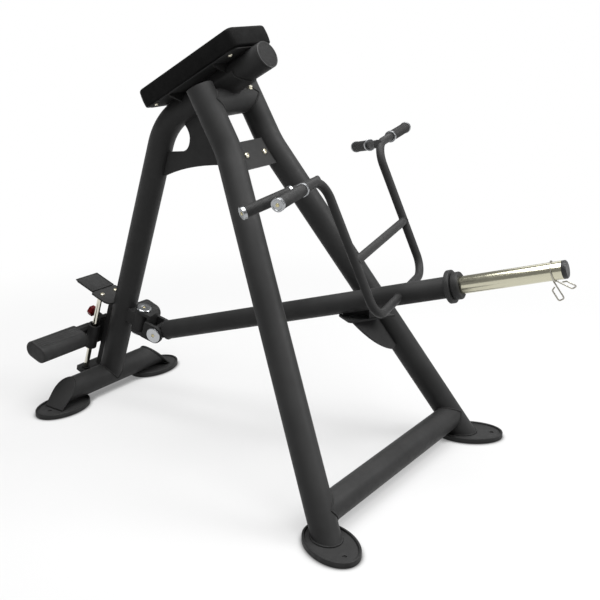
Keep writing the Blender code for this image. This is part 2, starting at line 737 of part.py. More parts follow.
def foot_adjuster_guides():
    """Rack strip, rods, brackets and the step tread, fixed to the spine, in the spine frame."""
    rack_back = -TUBE_RADIUS - GAP
    rack_front = rack_back - RACK_DEPTH
    low = BOTTOM_BRACKET_HEIGHT + BRACKET_THICKNESS + RACK_BOTTOM_CLEARANCE
    high = TOP_BRACKET_HEIGHT - RACK_TOP_CLEARANCE
    mesh = box_mesh((-RACK_WIDTH / 2, rack_front, low), (RACK_WIDTH / 2, rack_back, high))
    rack = add("rack_strip", mesh, spine, COATED)
    first = math.ceil((low + RACK_HOLE_MARGIN - PIN_HEIGHT) / RACK_PITCH)
    last = math.floor((high - RACK_HOLE_MARGIN - PIN_HEIGHT) / RACK_PITCH)
    for k in range(first, last + 1):
        height = PIN_HEIGHT + k * RACK_PITCH
        hole = helper(rod_mesh(RACK_HOLE / 2, 2 * RACK_HOLE_DEPTH, 12), spine, (0, rack_front, height),
                      (90, 0, 0))
        cut(rack, hole)
    rod_bottom = BOTTOM_BRACKET_HEIGHT + BRACKET_THICKNESS + GAP
    rod_length = TOP_BRACKET_HEIGHT - GAP - rod_bottom
    for word, side in SIDES:
        add("guide_rod_" + word, rod_mesh(ROD_RADIUS, rod_length), adjuster, PLATED,
            (side * ROD_SPACING / 2, -ROD_FORWARD, rod_bottom + rod_length / 2))
    half = BRACKET_WIDTH / 2
    easing = BRACKET_CORNER
    base_face = -BASE_RADIUS - GAP
    outline = [(half, base_face), (-half, base_face), (-half, -BRACKET_FRONT + easing),
               (-half + easing, -BRACKET_FRONT), (half - easing, -BRACKET_FRONT),
               (half, -BRACKET_FRONT + easing)]
    top = BOTTOM_BRACKET_HEIGHT + BRACKET_THICKNESS
    add("bottom_bracket", prism_mesh(outline, BOTTOM_BRACKET_HEIGHT, top), adjuster, COATED)
    tongue = TREAD_WIDTH / 2 - TREAD_OVERHANG
    tongue_front = -BRACKET_FRONT - TREAD_LENGTH + TREAD_OVERHANG
    half = TOP_BRACKET_WIDTH / 2
    easing = TOP_BRACKET_CORNER
    side_end = (half, -TOP_BRACKET_SIDE_END)
    outline = [(tongue, tongue_front), (tongue, -BRACKET_FRONT), (half - easing, -BRACKET_FRONT),
               (half, -BRACKET_FRONT + easing), side_end]
    outline += quadratic(side_end, (half, -BRACKET_BACK), (TOP_BRACKET_BACK_HALF_WIDTH, -BRACKET_BACK), 8)
    outline += [(-x, y) for x, y in reversed(outline)]
    top = add("top_bracket", prism_mesh(outline, TOP_BRACKET_HEIGHT, TOP_BRACKET_HEIGHT + BRACKET_THICKNESS),
              adjuster, COATED)
    cut(top, spine_space)
    tread_bottom = TOP_BRACKET_HEIGHT + BRACKET_THICKNESS + GAP
    mesh = box_mesh((-TREAD_WIDTH / 2, -BRACKET_FRONT - TREAD_LENGTH, tread_bottom),
                    (TREAD_WIDTH / 2, -BRACKET_FRONT, tread_bottom + TREAD_THICKNESS))
    add("step_tread", mesh, adjuster, MOULDED)


def carriage():
    """Two sleeves on the rods with a crosspiece, the foot bars and the pull pin's housing."""
    slide = frame("foot_carriage", adjuster, (0, -ROD_FORWARD, SLEEVE_BOTTOM))
    bore = ROD_RADIUS + RUNNING_GAP
    recess = SLEEVE_LENGTH - SLEEVE_RECESS_DEPTH
    half_thickness = CROSSPIECE_THICKNESS / 2
    half_width = ROD_SPACING / 2 - SLEEVE_RECESS_RADIUS - CROSSPIECE_INSET
    low = CROSSPIECE_BOTTOM - SLEEVE_BOTTOM
    high = CROSSPIECE_TOP - SLEEVE_BOTTOM
    body = add("carriage_body", box_mesh((-half_width, -half_thickness, low),
                                         (half_width, half_thickness, high)), slide, COATED)
    profile = [(bore, SLEEVE_RECESS_DEPTH), (SLEEVE_RECESS_RADIUS, SLEEVE_RECESS_DEPTH),
               (SLEEVE_RECESS_RADIUS, 0), (SLEEVE_RADIUS, 0), (SLEEVE_RADIUS, SLEEVE_LENGTH),
               (SLEEVE_RECESS_RADIUS, SLEEVE_LENGTH), (SLEEVE_RECESS_RADIUS, recess), (bore, recess)]
    for _, side in SIDES:
        join(body, helper(turned_mesh(profile, 24), slide, (side * ROD_SPACING / 2, 0, 0)))
    pin_up = PIN_HEIGHT - SLEEVE_BOTTOM
    pin_bore = PIN_RADIUS + RUNNING_GAP
    cut(body, helper(rod_mesh(pin_bore, THROUGH, 16), slide, (-ADJUSTER_OFFSET, 0, pin_up), (90, 0, 0)))
    start = half_thickness + GAP
    end = start + PIN_HOUSING_LENGTH
    profile = [(pin_bore, start), (PIN_HOUSING_RADIUS, start), (PIN_HOUSING_RADIUS, end - PIN_HOUSING_EDGE),
               (PIN_HOUSING_RADIUS - PIN_HOUSING_EDGE, end), (pin_bore, end)]
    add("pin_housing", turned_mesh(profile, 18), slide, COATED, (-ADJUSTER_OFFSET, 0, pin_up), (90, 0, 0))
    foot_bars(slide)
    return half_thickness, end


def foot_neck(middle, growth):
    """Outline of a foot bar's neck, a bar with chamfered edges, grown on every side."""
    x = FOOT_NECK_DEPTH / 2 + growth
    y = FOOT_NECK_THICKNESS / 2 + growth
    c = FOOT_NECK_CHAMFER
    right = [(x - c, -y), (x, c - y), (x, y - c), (x - c, y)]
    return [(middle + a, b) for a, b in right + [(-a, -b) for a, b in right]]


def foot_bars(slide):
    """Oval bars with a rubber sleeve on each. A narrower neck at the inner end lies across the front of the
    rod sleeves."""
    up = FOOT_BAR_HEIGHT - SLEEVE_BOTTOM
    out = ROD_FORWARD - FOOT_BAR_FORWARD
    core = stadium(FOOT_BAR_DEPTH / 2, FOOT_BAR_THICKNESS / 2)
    skin = stadium(FOOT_BAR_DEPTH / 2 + FOOT_RUBBER_WALL, FOOT_BAR_THICKNESS / 2 + FOOT_RUBBER_WALL)
    pocket = stadium(FOOT_BAR_DEPTH / 2 + GAP, FOOT_BAR_THICKNESS / 2 + GAP)
    shift = FOOT_NECK_FORWARD - FOOT_BAR_FORWARD
    core_start = FOOT_RUBBER_INNER_END + FOOT_RUBBER_INNER_WALL
    for word, side in SIDES:
        reach = FOOT_BAR_REACH + side * FOOT_BAR_SHIFT
        bar_end = reach - FOOT_RUBBER_CAP - GAP
        place = (0, out, up)
        turn = (90, 0, side * 90)
        neck = foot_neck(-side * shift, 0)
        neck_end = core_start + FOOT_RUBBER_INNER_WALL
        bar = add("foot_bar_" + word, prism_mesh(core, core_start, bar_end), slide, COATED, place, turn)
        join(bar, helper(prism_mesh(neck, FOOT_BAR_INNER_END, neck_end), slide, place, turn))
        cut(bar, helper(rod_mesh(SLEEVE_RADIUS + GAP, THROUGH, 28), slide, (side * ROD_SPACING / 2, 0, 0)))
        rubber = add("foot_rubber_" + word, prism_mesh(skin, FOOT_RUBBER_INNER_END, reach), slide,
                     MOULDED, place, turn)
        soften = rubber.modifiers.new("end", "BEVEL")
        soften.width = FOOT_RUBBER_EDGE
        soften.segments = 2
        soften.limit_method = "ANGLE"
        soften.angle_limit = math.radians(60)
        cut(rubber, helper(prism_mesh(pocket, core_start - GAP, bar_end + GAP), slide, place, turn))
        passage = foot_neck(-side * shift, GAP)
        cut(rubber, helper(prism_mesh(passage, 0, core_start + GAP), slide, place, turn))


def pull_pin(half_thickness, housing_end):
    """The spring-loaded pin that locks the carriage, drawn just clear of the rack strip, and its lobed
    knob. Z of its frame points forward."""
    pull = frame("pull_pin", spine, (0, -ROD_FORWARD, PIN_HEIGHT), (90, 0, 0))
    tip = TUBE_RADIUS + GAP + RACK_DEPTH + RUNNING_GAP - ROD_FORWARD
    knob_start = housing_end + PIN_NECK
    profile = [(0, tip), (PIN_RADIUS - PIN_EDGE, tip), (PIN_RADIUS, tip + PIN_EDGE),
               (PIN_RADIUS, knob_start - GAP), (0, knob_start - GAP)]
    add("lock_pin", turned_mesh(profile, 16), pull, PLATED)
    outline = []
    count = 6 * KNOB_LOBES
    for k in range(count):
        angle = 2 * math.pi * k / count
        radius = KNOB_RADIUS - KNOB_LOBE_DEPTH * (1 - math.cos(KNOB_LOBES * angle)) / 2
        outline.append((radius * math.cos(angle), radius * math.sin(angle)))
    made = add("pull_knob", prism_mesh(outline, knob_start, knob_start + KNOB_LENGTH), pull, RED)
    soften = made.modifiers.new("edges", "BEVEL")
    soften.width = KNOB_EDGE
    soften.segments = 2
    soften.limit_method = "ANGLE"
    soften.angle_limit = math.radians(60)


def capped_pin(name, parent, half_length, turn=(0, 0, 0)):
    """A pivot pin with a broad flat cap at each end, along its frame's Z before the turn."""
    cap = CAP_THICKNESS
    edge = CAP_EDGE
    profile = [(0, -half_length - cap), (CAP_RADIUS - edge, -half_length - cap),
               (CAP_RADIUS, -half_length - cap + edge), (CAP_RADIUS, -half_length),
               (PIVOT_RADIUS, -half_length), (PIVOT_RADIUS, half_length), (CAP_RADIUS, half_length),
               (CAP_RADIUS, half_length + cap - edge), (CAP_RADIUS - edge, half_length + cap),
               (0, half_length + cap)]
    return add(name, turned_mesh(profile, 24), parent, MILLED, turn=turn)


def joint_lug():
    """The bearing housing welded to the back of the spine."""
    swing_place = (0, JOINT_BACK, JOINT_HEIGHT)
    half_width = LUG_WIDTH / 2
    half_height = LUG_HEIGHT / 2
    barrel_length = YOKE_HEIGHT - 2 * YOKE_PLATE - 2 * RUNNING_GAP
    mesh = box_mesh((-half_width, TUBE_RADIUS * 0.6, -half_height), (half_width, JOINT_BACK, half_height))
    mesh.transform(Matrix.Translation((0, -JOINT_BACK, 0)))
    made = add("joint_lug", mesh, spine, COATED, swing_place)
    join(made, helper(rod_mesh(LUG_BARREL_RADIUS, barrel_length, 32), spine, swing_place))
    cut(made, spine_space, helper(rod_mesh(PIVOT_RADIUS + RUNNING_GAP, THROUGH), spine, swing_place))


def swing_yoke():
    """The yoke that turns on the upright pin and carries the level pin in two ears."""
    swing = frame("arm_swing", spine, (0, JOINT_BACK, JOINT_HEIGHT), (0, 0, ARM_SWING))
    half_height = YOKE_HEIGHT / 2
    half_width = YOKE_WIDTH / 2
    web_front = YOKE_WEB_BACK - YOKE_PLATE
    ear_top = LIFT_HEIGHT + YOKE_EAR_RADIUS
    ear_bottom = LIFT_HEIGHT - YOKE_EAR_RADIUS
    outer = YOKE_EAR_WIDTH / 2
    plate = [(half_width, YOKE_WEB_BACK), (-half_width, YOKE_WEB_BACK)]
    plate += [(-half_width * math.cos(a), -half_width * math.sin(a))
              for a in [math.pi * i / 16 for i in range(17)]]
    yoke = add("joint_yoke", prism_mesh(plate, half_height - YOKE_PLATE, half_height), swing, COATED)
    low_plate = helper(prism_mesh(plate, -half_height, -half_height + YOKE_PLATE), swing)
    inside = YOKE_PLATE / 2
    web = helper(box_mesh((-half_width, web_front, -half_height + inside),
                          (half_width, YOKE_WEB_BACK - GAP / 3, half_height - inside)), swing)
    block = helper(box_mesh((-outer, web_front + GAP, ear_bottom), (outer, YOKE_WEB_BACK, ear_top)), swing)
    join(yoke, web, low_plate, block)
    ear_root = YOKE_WEB_BACK - YOKE_PLATE / 2
    ear = [(ear_root, ear_bottom), (LIFT_BACK, ear_bottom)]
    ear += [(LIFT_BACK + YOKE_EAR_RADIUS * math.sin(a), LIFT_HEIGHT - YOKE_EAR_RADIUS * math.cos(a))
            for a in [math.pi * i / 14 for i in range(1, 14)]]
    ear += [(LIFT_BACK, ear_top), (ear_root, ear_top)]
    for _, side in SIDES:
        inner = side * (outer - YOKE_EAR_THICKNESS)
        low, high = sorted((inner, side * outer))
        join(yoke, helper(prism_mesh(ear, low, high), swing, turn=(90, 0, 90)))
    pivot = PIVOT_RADIUS + RUNNING_GAP
    cut(yoke, helper(rod_mesh(pivot, THROUGH), swing),
        helper(rod_mesh(pivot, THROUGH), swing, (0, LIFT_BACK, LIFT_HEIGHT), TURN_TO_X))
    capped_pin("swing_pin", swing, half_height + GAP)
    return swing


def lever_arm(swing):
    """The arm and what is fixed to it. Its frame has Y along the arm, X along the level pin."""
    lift = frame("arm_lift", swing, (0, LIFT_BACK, LIFT_HEIGHT), (ARM_RISE, 0, 0))
    capped_pin("lift_pin", lift, YOKE_EAR_WIDTH / 2 + GAP, TURN_TO_X)
    head_length = YOKE_EAR_WIDTH - 2 * YOKE_EAR_THICKNESS - 2 * RUNNING_GAP
    head = add("arm_head", rod_mesh(ARM_HEAD_RADIUS, head_length, 28), lift, COATED, turn=TURN_TO_X)
    join(head, helper(box_mesh((-ARM_NECK_HALF_WIDTH, 0, -ARM_NECK_HALF_HEIGHT),
                               (ARM_NECK_HALF_WIDTH, ARM_START - GAP, ARM_NECK_HALF_HEIGHT)), lift))
    cut(head, helper(rod_mesh(PIVOT_RADIUS + RUNNING_GAP, THROUGH), lift, turn=TURN_TO_X))
    along = (-90, 0, 0)
    tube_length = FLANGE_START - GAP - ARM_START
    profile = [(0, 0), (ARM_RADIUS, 0), (ARM_RADIUS, tube_length), (0, tube_length)]
    add("arm_tube", turned_mesh(profile, 32), lift, COATED, (0, ARM_START, 0), along)
    edge = FLANGE_EDGE
    flange = FLANGE_THICKNESS
    profile = [(0, 0), (FLANGE_RADIUS - edge, 0), (FLANGE_RADIUS, edge), (FLANGE_RADIUS, flange - edge),
               (FLANGE_RADIUS - edge, flange), (0, flange)]
    add("arm_flange", turned_mesh(profile, 32), lift, COATED, (0, FLANGE_START, 0), along)
    bumper_start = FLANGE_START + flange + GAP
    profile = [(0, 0), (BUMPER_RADIUS, 0), (BUMPER_RADIUS, BUMPER_THICKNESS - BUMPER_EDGE),
               (BUMPER_RADIUS - BUMPER_EDGE, BUMPER_THICKNESS), (0, BUMPER_THICKNESS)]
    add("sleeve_bumper", turned_mesh(profile, 32), lift, MOULDED, (0, bumper_start, 0), along)
    sleeve_start = bumper_start + BUMPER_THICKNESS + GAP
    profile = [(0, 0), (SLEEVE_TUBE_RADIUS, 0), (SLEEVE_TUBE_RADIUS, SLEEVE_TUBE_LENGTH),
               (0, SLEEVE_TUBE_LENGTH)]
    add("plate_sleeve", turned_mesh(profile, 36), lift, PLATED, (0, sleeve_start, 0), along)
    sleeve_end = sleeve_start + SLEEVE_TUBE_LENGTH
    profile = [(0, GAP), (SLEEVE_TUBE_RADIUS, GAP), (SLEEVE_TUBE_RADIUS, END_PLUG_LENGTH - END_PLUG_EDGE),
               (SLEEVE_TUBE_RADIUS - END_PLUG_EDGE, END_PLUG_LENGTH), (0, END_PLUG_LENGTH)]
    add("sleeve_plug", turned_mesh(profile, 32), lift, MOULDED, (0, sleeve_end, 0), along)
    spring_clip(lift, sleeve_end - CLIP_FROM_SLEEVE_END)
    return lift


def spring_clip(lift, along):
    """A wire clip: one turn round the sleeve, and a bent loop at each end that opens it when squeezed.
    Its frame has Z along the sleeve, X to the side and -Y down."""
    clip = frame("sleeve_clip", lift, (0, along, 0), (90, 0, 180))
    radius = SLEEVE_TUBE_RADIUS + CLIP_WIRE_RADIUS + RUNNING_GAP
    half_pitch = CLIP_WIRE_PITCH / 2
    along_sleeve = Vector((0, 0, 1))

    def loop(root, heading, side_sign):
        """A flat loop of wire, out along its heading and back beside itself."""
        heading = heading.normalized()
        side = (along_sleeve - heading * heading.dot(along_sleeve)).normalized() * side_sign
        width = CLIP_LOOP_WIDTH
        length = CLIP_LOOP_LENGTH
        bend = CLIP_CORNER
        plan = [(CLIP_ROOT, 0), (length - bend, 0), (length, bend), (length, width - bend),
                (length - bend, width)]
        return [root + heading * reach + side * shift for reach, shift in (*plan, *CLIP_TAIL)]

    coil = []
    steps = 28
    for i in range(steps + 1):
        angle = 2 * math.pi * i / steps - math.pi / 2
        along = half_pitch * (2 * i / steps - 1)
        coil.append(Vector((radius * math.cos(angle), radius * math.sin(angle), along)))
    start = loop(coil[0], Vector((0, -0.94, 0.33)), -1)
    end = loop(coil[-1], Vector((0.49, -0.68, 0.56)), 1)
    path = start[::-1] + coil + end
    add("spring_clip", tube_mesh(path, CLIP_WIRE_RADIUS, 6), clip, PLATED)


def handle_frame(lift):
    """The bent tube with its cross bar, four grips and their end caps. Z of its frame runs up the frame
    and +Y points away from the user."""
    handles = frame("handle_frame_axis", lift, (0, HANDLE_ALONG_ARM, 0), (HANDLE_LEAN, 0, 0))
    wide = HANDLE_HALF_WIDTH + WIDE_GRIP_REACH - GRIP_CAP_THICKNESS - GAP
    outline = [(-wide, 0, HANDLE_HEIGHT), (-HANDLE_HALF_WIDTH, 0, HANDLE_HEIGHT), (-HANDLE_HALF_WIDTH, 0, 0),
               (HANDLE_HALF_WIDTH, 0, 0), (HANDLE_HALF_WIDTH, 0, HANDLE_HEIGHT), (wide, 0, HANDLE_HEIGHT)]
    bends = [HANDLE_TOP_BEND, HANDLE_BOTTOM_BEND, HANDLE_BOTTOM_BEND, HANDLE_TOP_BEND]
    made = add("handle_frame", tube_mesh(rounded_path(outline, bends), HANDLE_TUBE_RADIUS, SMALL_SIDES),
               handles, COATED)
    bar_radius = HANDLE_TUBE_RADIUS - GAP / 3
    join(made, helper(rod_mesh(bar_radius, 2 * HANDLE_HALF_WIDTH, SMALL_SIDES), handles,
                      (0, 0, CROSS_BAR_HEIGHT), TURN_TO_X))
    angle = math.radians(NEAR_GRIP_ANGLE)
    for word, side in SIDES:
        out = Vector((side * math.sin(angle), -math.cos(angle), 0))
        root = Vector((side * (HANDLE_HALF_WIDTH + NEAR_GRIP_START), 0, HANDLE_HEIGHT))
        turn = (90, 0, math.degrees(math.atan2(out.x, -out.y)))
        length = NEAR_GRIP_REACH - GRIP_CAP_THICKNESS - GAP
        stub = helper(rod_mesh(bar_radius, length), handles, root + out * length / 2, turn)
        join(made, stub)
        grip("near_grip_" + word, handles, root + out * NEAR_GRIP_REACH, turn)
        tip = Vector((side * (HANDLE_HALF_WIDTH + WIDE_GRIP_REACH), 0, HANDLE_HEIGHT))
        grip("wide_grip_" + word, handles, tip, (90, 0, side * 90))
    cut(made, helper(rod_mesh(ARM_RADIUS + GAP, THROUGH, 32), lift, (0, HANDLE_ALONG_ARM, 0), (90, 0, 0)))


def grip(name, handles, tip, turn):
    """A rubber grip on the tube's end and the metal cap that closes it. Z of the mesh points outward."""
    bore = HANDLE_TUBE_RADIUS + GAP
    end = -GRIP_CAP_THICKNESS - GAP
    start = end - GRIP_LENGTH
    profile = [(bore, start), (GRIP_RADIUS, start), (GRIP_RADIUS, end), (bore, end)]
    add(name, turned_mesh(profile, 24), handles, MOULDED, tip, turn)
    edge = GRIP_CAP_EDGE
    profile = [(0, -GRIP_CAP_THICKNESS), (GRIP_CAP_RADIUS, -GRIP_CAP_THICKNESS), (GRIP_CAP_RADIUS, -edge),
               (GRIP_CAP_RADIUS - edge, 0), (0, 0)]
    add(name + "_cap", turned_mesh(profile, 24), handles, MILLED, tip, turn)


def rest_bracket(lift):
    """The shelf on the left leg that the parked arm rests on: a plate, a blade under it and a rubber.
    The shelf's height follows from the parked arm's."""
    bpy.context.view_layer.update()
    to_machine = machine.matrix_world.inverted() @ lift.matrix_world
    pivot = to_machine.translation
    arm = (to_machine.to_3x3() @ Vector((0, 1, 0))).normalized()
    rise = arm.z / arm.y
    floor, bend, _ = leg_points(-1)
    lean = (bend.y - floor.y) / bend.z
    drop = (ARM_RADIUS + REST_ARM_CLEARANCE) / math.sqrt(1 - arm.z ** 2)
    above_shelf = drop + REST_RUBBER_DEPTH + GAP + REST_THICKNESS
    height = (pivot.z + (floor.y - pivot.y) * rise - above_shelf) / (1 - lean * rise)
    leg = leg_at_height(-1, height)
    under = pivot + arm * (leg.y - pivot.y) / arm.y
    turn = math.radians(REST_TURN)
    edge = Vector((math.cos(turn), -math.sin(turn), 0))
    side = Vector((math.sin(turn), math.cos(turn), 0))

    def plan(pairs):
        return [(under.x + edge.x * a + side.x * b, under.y + edge.y * a + side.y * b) for a, b in pairs]

    shelf = add("rest_plate", prism_mesh(plan(REST_PLATE_OUTLINE), height, height + REST_THICKNESS), machine,
                COATED)
    hole = plan([REST_HOLE_PLACE])[0]
    cut(shelf, leg_space[-1], helper(rod_mesh(REST_HOLE / 2, THROUGH, 16), machine, (*hole, height)))
    block = plan(REST_RUBBER_OUTLINE)
    level = Vector((arm.x, arm.y, 0)).normalized()
    slope = arm.z / math.hypot(arm.x, arm.y)
    vertices = [(x, y, height + REST_THICKNESS + GAP) for x, y in block]
    for x, y in block:
        offset = Vector((x - under.x, y - under.y, 0))
        aside = offset.dot(Vector((level.y, -level.x, 0)))
        vertices.append((x, y, under.z - drop + offset.dot(level) * slope - aside * REST_SIDE_SLOPE))
    count = len(block)
    faces = [list(range(count))[::-1], list(range(count, 2 * count))]
    for k in range(count):
        n = (k + 1) % count
        faces.append([k, n, n + count, k + count])
    add("rest_rubber", mesh_from(vertices, faces), machine, MOULDED)
    rest_blade(height)


def rest_blade(height):
    """The leaf-shaped gusset under the shelf, in the plane of the left leg's axis and the X axis.
    Its outline is (distance from the leg's axis, distance up the leg)."""
    floor, bend, _ = leg_points(-1)
    up = (bend - floor).normalized()
    across = (Vector((1, 0, 0)) - up * up.x).normalized()
    shelf_along = (height - GAP) / up.z
    rise = -across.z / up.z

    def below(point):
        return (point[0], shelf_along - point[1])

    tip = (REST_BLADE_REACH, shelf_along + REST_BLADE_REACH * rise)
    outline = [(REST_BLADE_ROOT, shelf_along + REST_BLADE_ROOT * rise), (0.0, shelf_along),
               below((0.0, REST_BLADE_HEEL)), below(REST_BLADE_TOE), below(REST_BLADE_LOW)]
    outline += quadratic(below(REST_BLADE_LOW), below(REST_BLADE_BELLY), tip, 8)
    made = add("rest_blade", prism_mesh(outline, -REST_BLADE_THICKNESS / 2, REST_BLADE_THICKNESS / 2),
               machine, COATED, floor)
    made.rotation_euler = Matrix((across, up, across.cross(up))).transposed().to_euler()
    shelf_end = leg_at_height(-1, height) + Vector((0, 0, TUBE_RADIUS - GAP))
    ceiling = helper(rod_mesh(REST_BLADE_REACH * 2, 2 * TUBE_RADIUS, 4), machine, shelf_end)
    cut(made, leg_space[-1], ceiling)


feet()
base_tube()
spine_tube()
top_cross_axis = legs_and_cross_tubes()
mid_gusset(top_cross_axis)
leg_cross_plate()
chest_pad()
foot_adjuster_guides()
pull_pin(*carriage())
joint_lug()
yoke_frame = swing_yoke()
arm_frame = lever_arm(yoke_frame)
handle_frame(arm_frame)
rest_bracket(arm_frame)
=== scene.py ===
"""Looks of a prone row machine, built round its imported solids: metres, +Z up, the user faces +Y."""
import math

import bmesh
import bpy
import numpy as np
from mathutils import Euler, Matrix, Vector


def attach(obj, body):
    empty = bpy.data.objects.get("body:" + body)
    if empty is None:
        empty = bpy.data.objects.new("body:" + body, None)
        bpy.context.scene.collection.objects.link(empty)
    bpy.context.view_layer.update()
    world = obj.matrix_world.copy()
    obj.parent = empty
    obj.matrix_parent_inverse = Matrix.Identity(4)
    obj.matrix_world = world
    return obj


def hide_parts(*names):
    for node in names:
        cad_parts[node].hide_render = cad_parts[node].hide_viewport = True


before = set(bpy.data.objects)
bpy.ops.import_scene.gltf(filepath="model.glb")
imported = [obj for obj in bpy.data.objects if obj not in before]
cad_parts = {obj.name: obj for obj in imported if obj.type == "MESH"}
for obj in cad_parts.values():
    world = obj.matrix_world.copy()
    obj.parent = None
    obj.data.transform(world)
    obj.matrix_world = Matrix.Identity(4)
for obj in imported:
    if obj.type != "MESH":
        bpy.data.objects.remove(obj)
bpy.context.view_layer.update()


# Feet: four oval steel plates, each in a moulded rubber rim that wraps under it. A plate has one hole for a
# floor bolt, on the side away from the tube.
def at(parent, place, turn=(0, 0, 0)):
    """A frame inside another one, moved and then turned in degrees about X, Y and Z."""
    angles = Euler([math.radians(angle) for angle in turn])
    return parent @ Matrix.Translation(place) @ angles.to_matrix().to_4x4()


def linear(code):
    """Linear colour of an sRGB hex code."""
    parts = [int(code[i:i + 2], 16) / 255 for i in (0, 2, 4)]
    return tuple(p / 12.92 if p <= 0.04045 else ((p + 0.055) / 1.055) ** 2.4 for p in parts) + (1.0,)


def start_material(name, **shader_values):
    """A new node material and its shader, with constant values set on the shader's own sockets."""
    made = bpy.data.materials.new(name)
    made.use_nodes = True
    shader = made.node_tree.nodes["Principled BSDF"]
    for key, value in shader_values.items():
        shader.inputs[key.replace("_", " ")].default_value = value
    return made, made.node_tree, shader


def put(tree, kind, values=(), links=(), **properties):
    """Adds a node with its properties, socket values and incoming links."""
    made = tree.nodes.new(kind)
    for key, value in properties.items():
        setattr(made, key, value)
    for socket, value in dict(values).items():
        made.inputs[socket].default_value = value
    for socket, source in dict(links).items():
        tree.links.new(source, made.inputs[socket])
    return made


def noise(tree, scale, detail=3.0, roughness=0.5):
    """Noise over the piece's own metres: its patches are about one part in scale of a metre wide."""
    place = put(tree, "ShaderNodeTexCoord").outputs["Object"]
    return put(tree, "ShaderNodeTexNoise", {"Scale": scale, "Detail": detail, "Roughness": roughness},
               {"Vector": place}).outputs["Fac"]


def ramp(tree, source, low, high, start=0.35, end=0.65):
    """A value or colour that changes from low to high as the source goes from start to end."""
    made = put(tree, "ShaderNodeValToRGB", links={"Fac": source})
    for stop, position, value in zip(made.color_ramp.elements, (start, end), (low, high)):
        stop.position = position
        stop.color = value if isinstance(value, tuple) else (value, value, value, 1.0)
    return made.outputs["Color"]


def bump(tree, shader, source, depth, strength=1.0):
    """Raises the surface by the source, depth metres at most."""
    made = put(tree, "ShaderNodeBump", {"Strength": strength, "Distance": depth}, {"Height": source})
    tree.links.new(made.outputs["Normal"], shader.inputs["Normal"])


def uneven_material(name, ior, specular, tones, tone_scale, rough, rough_scale, relief, depth, strength):
    """A material whose colour and roughness change a little from patch to patch, with a fine relief. The
    relief is the values of a noise, or a function that makes its nodes."""
    made, tree, shader = start_material(name, IOR=ior, Specular_IOR_Level=specular)
    low, high = [linear(tone) for tone in tones]
    tree.links.new(ramp(tree, noise(tree, tone_scale), low, high), shader.inputs["Base Color"])
    tree.links.new(ramp(tree, noise(tree, rough_scale), *rough), shader.inputs["Roughness"])
    bump(tree, shader, relief(tree) if callable(relief) else noise(tree, *relief), depth, strength)
    return made


def rubber_material(name="moulded_rubber", tones=("181818", "202020"), rough=(0.55, 0.68), grain=700.0):
    """Black moulded rubber, elastomer or soft plastic, with a moulded grain of 1 to 2 mm."""
    return uneven_material(name, 1.52, 0.4, tones, 14.0, rough, 50.0, (grain, 3.0, 0.6), 0.0002, 0.45)


# The powder coat is polyester, satin black: it flows into a fine orange peel about a millimetre across, and
# it is a shade lighter where it lies thick.
coat = uneven_material("powder_coated_steel", 1.5, 0.17, ("2F2F2F", "363636"), 9.0, (0.46, 0.56), 60.0,
                       (900.0, 2.0, 0.6), 0.00018, 0.35)
rubber = rubber_material()


def skin(name, grid, place, finish, body, slot, stands_for=(), ends="closed", sharp=40):
    """One piece from a grid of points: each row is a ring round the piece, and the rings follow each other
    along it. A flat face closes the first and the last ring, or ends="ring" joins them to each other. The
    faces are turned outward and shaded smooth up to the sharp angle, and the piece rides on its body."""
    rows, count = grid.shape[:2]
    turn = np.array(place.to_3x3())
    points = grid.reshape(-1, 3) @ turn.T + np.array(place.translation)
    i, j = np.meshgrid(np.arange(rows - (ends != "ring")), np.arange(count), indexing="ij")
    beside = (j + 1) % count
    above = (i + 1) % rows
    quads = np.stack([i * count + j, i * count + beside, above * count + beside, above * count + j], -1)
    faces = quads.reshape(-1, 4).tolist()
    if ends != "ring":
        faces += [list(range(count))[::-1], list(range((rows - 1) * count, rows * count))]
    mesh = bpy.data.meshes.new(name)
    mesh.from_pydata(points.tolist(), [], faces)
    work = bmesh.new()
    work.from_mesh(mesh)
    if work.calc_volume(signed=True) < 0:
        bmesh.ops.reverse_faces(work, faces=work.faces)
    work.to_mesh(mesh)
    work.free()
    mesh.shade_smooth()
    mesh.set_sharp_from_angle(angle=math.radians(sharp))
    mesh.materials.append(finish)
    made = bpy.data.objects.new(name, mesh)
    bpy.context.collection.objects.link(made)
    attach(made, body)
    if stands_for:
        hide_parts(*stands_for)
    return made


def coated(name, grid, place, *stands_for, body="frame", **more):
    """A piece of powder-coated steel."""
    skin(name, grid, place, coat, body, "powder_coat", stands_for, **more)


def ellipse(half_x, half_y, count=96):
    """Points of an ellipse round the origin."""
    a = np.arange(count) * 2 * np.pi / count
    return np.stack([half_x * np.cos(a), half_y * np.sin(a)], -1)


def stacked(levels):
    """A grid from outlines at heights: each level is (outline, height)."""
    return np.stack([np.column_stack([outline, np.full(len(outline), z)]) for outline, z in levels])


# The machine's own frame stands on the floor under the middle of the base tube, as in the solids.
machine = Matrix.Translation((0.0483, -0.6843, 0.0))
SIDES = (("right", 1), ("left", -1))
FOOT_LENGTH, FOOT_WIDTH, FOOT_HEIGHT, FOOT_PLATE_TOP = 0.200, 0.129, 0.017, 0.013
FOOT_RIM, FOOT_EDGE, FOOT_LIP, FOOT_HOLE = 0.008, 0.003, 0.0015, 0.006
FRONT_FOOT_OUT, FRONT_HOLE_OUT = 0.212, 0.055
REAR_FOOT_OUT, REAR_HOLE_OUT = 0.0157, 0.0667
QUARTER_TURN = 1.57
LEG_FLOOR = {side: Vector((side * 0.3749, 1.1338, 0)) for _, side in SIDES}
LEG_BEND = {side: Vector((side * 0.0928, 0.6095, 0.8780)) for _, side in SIDES}


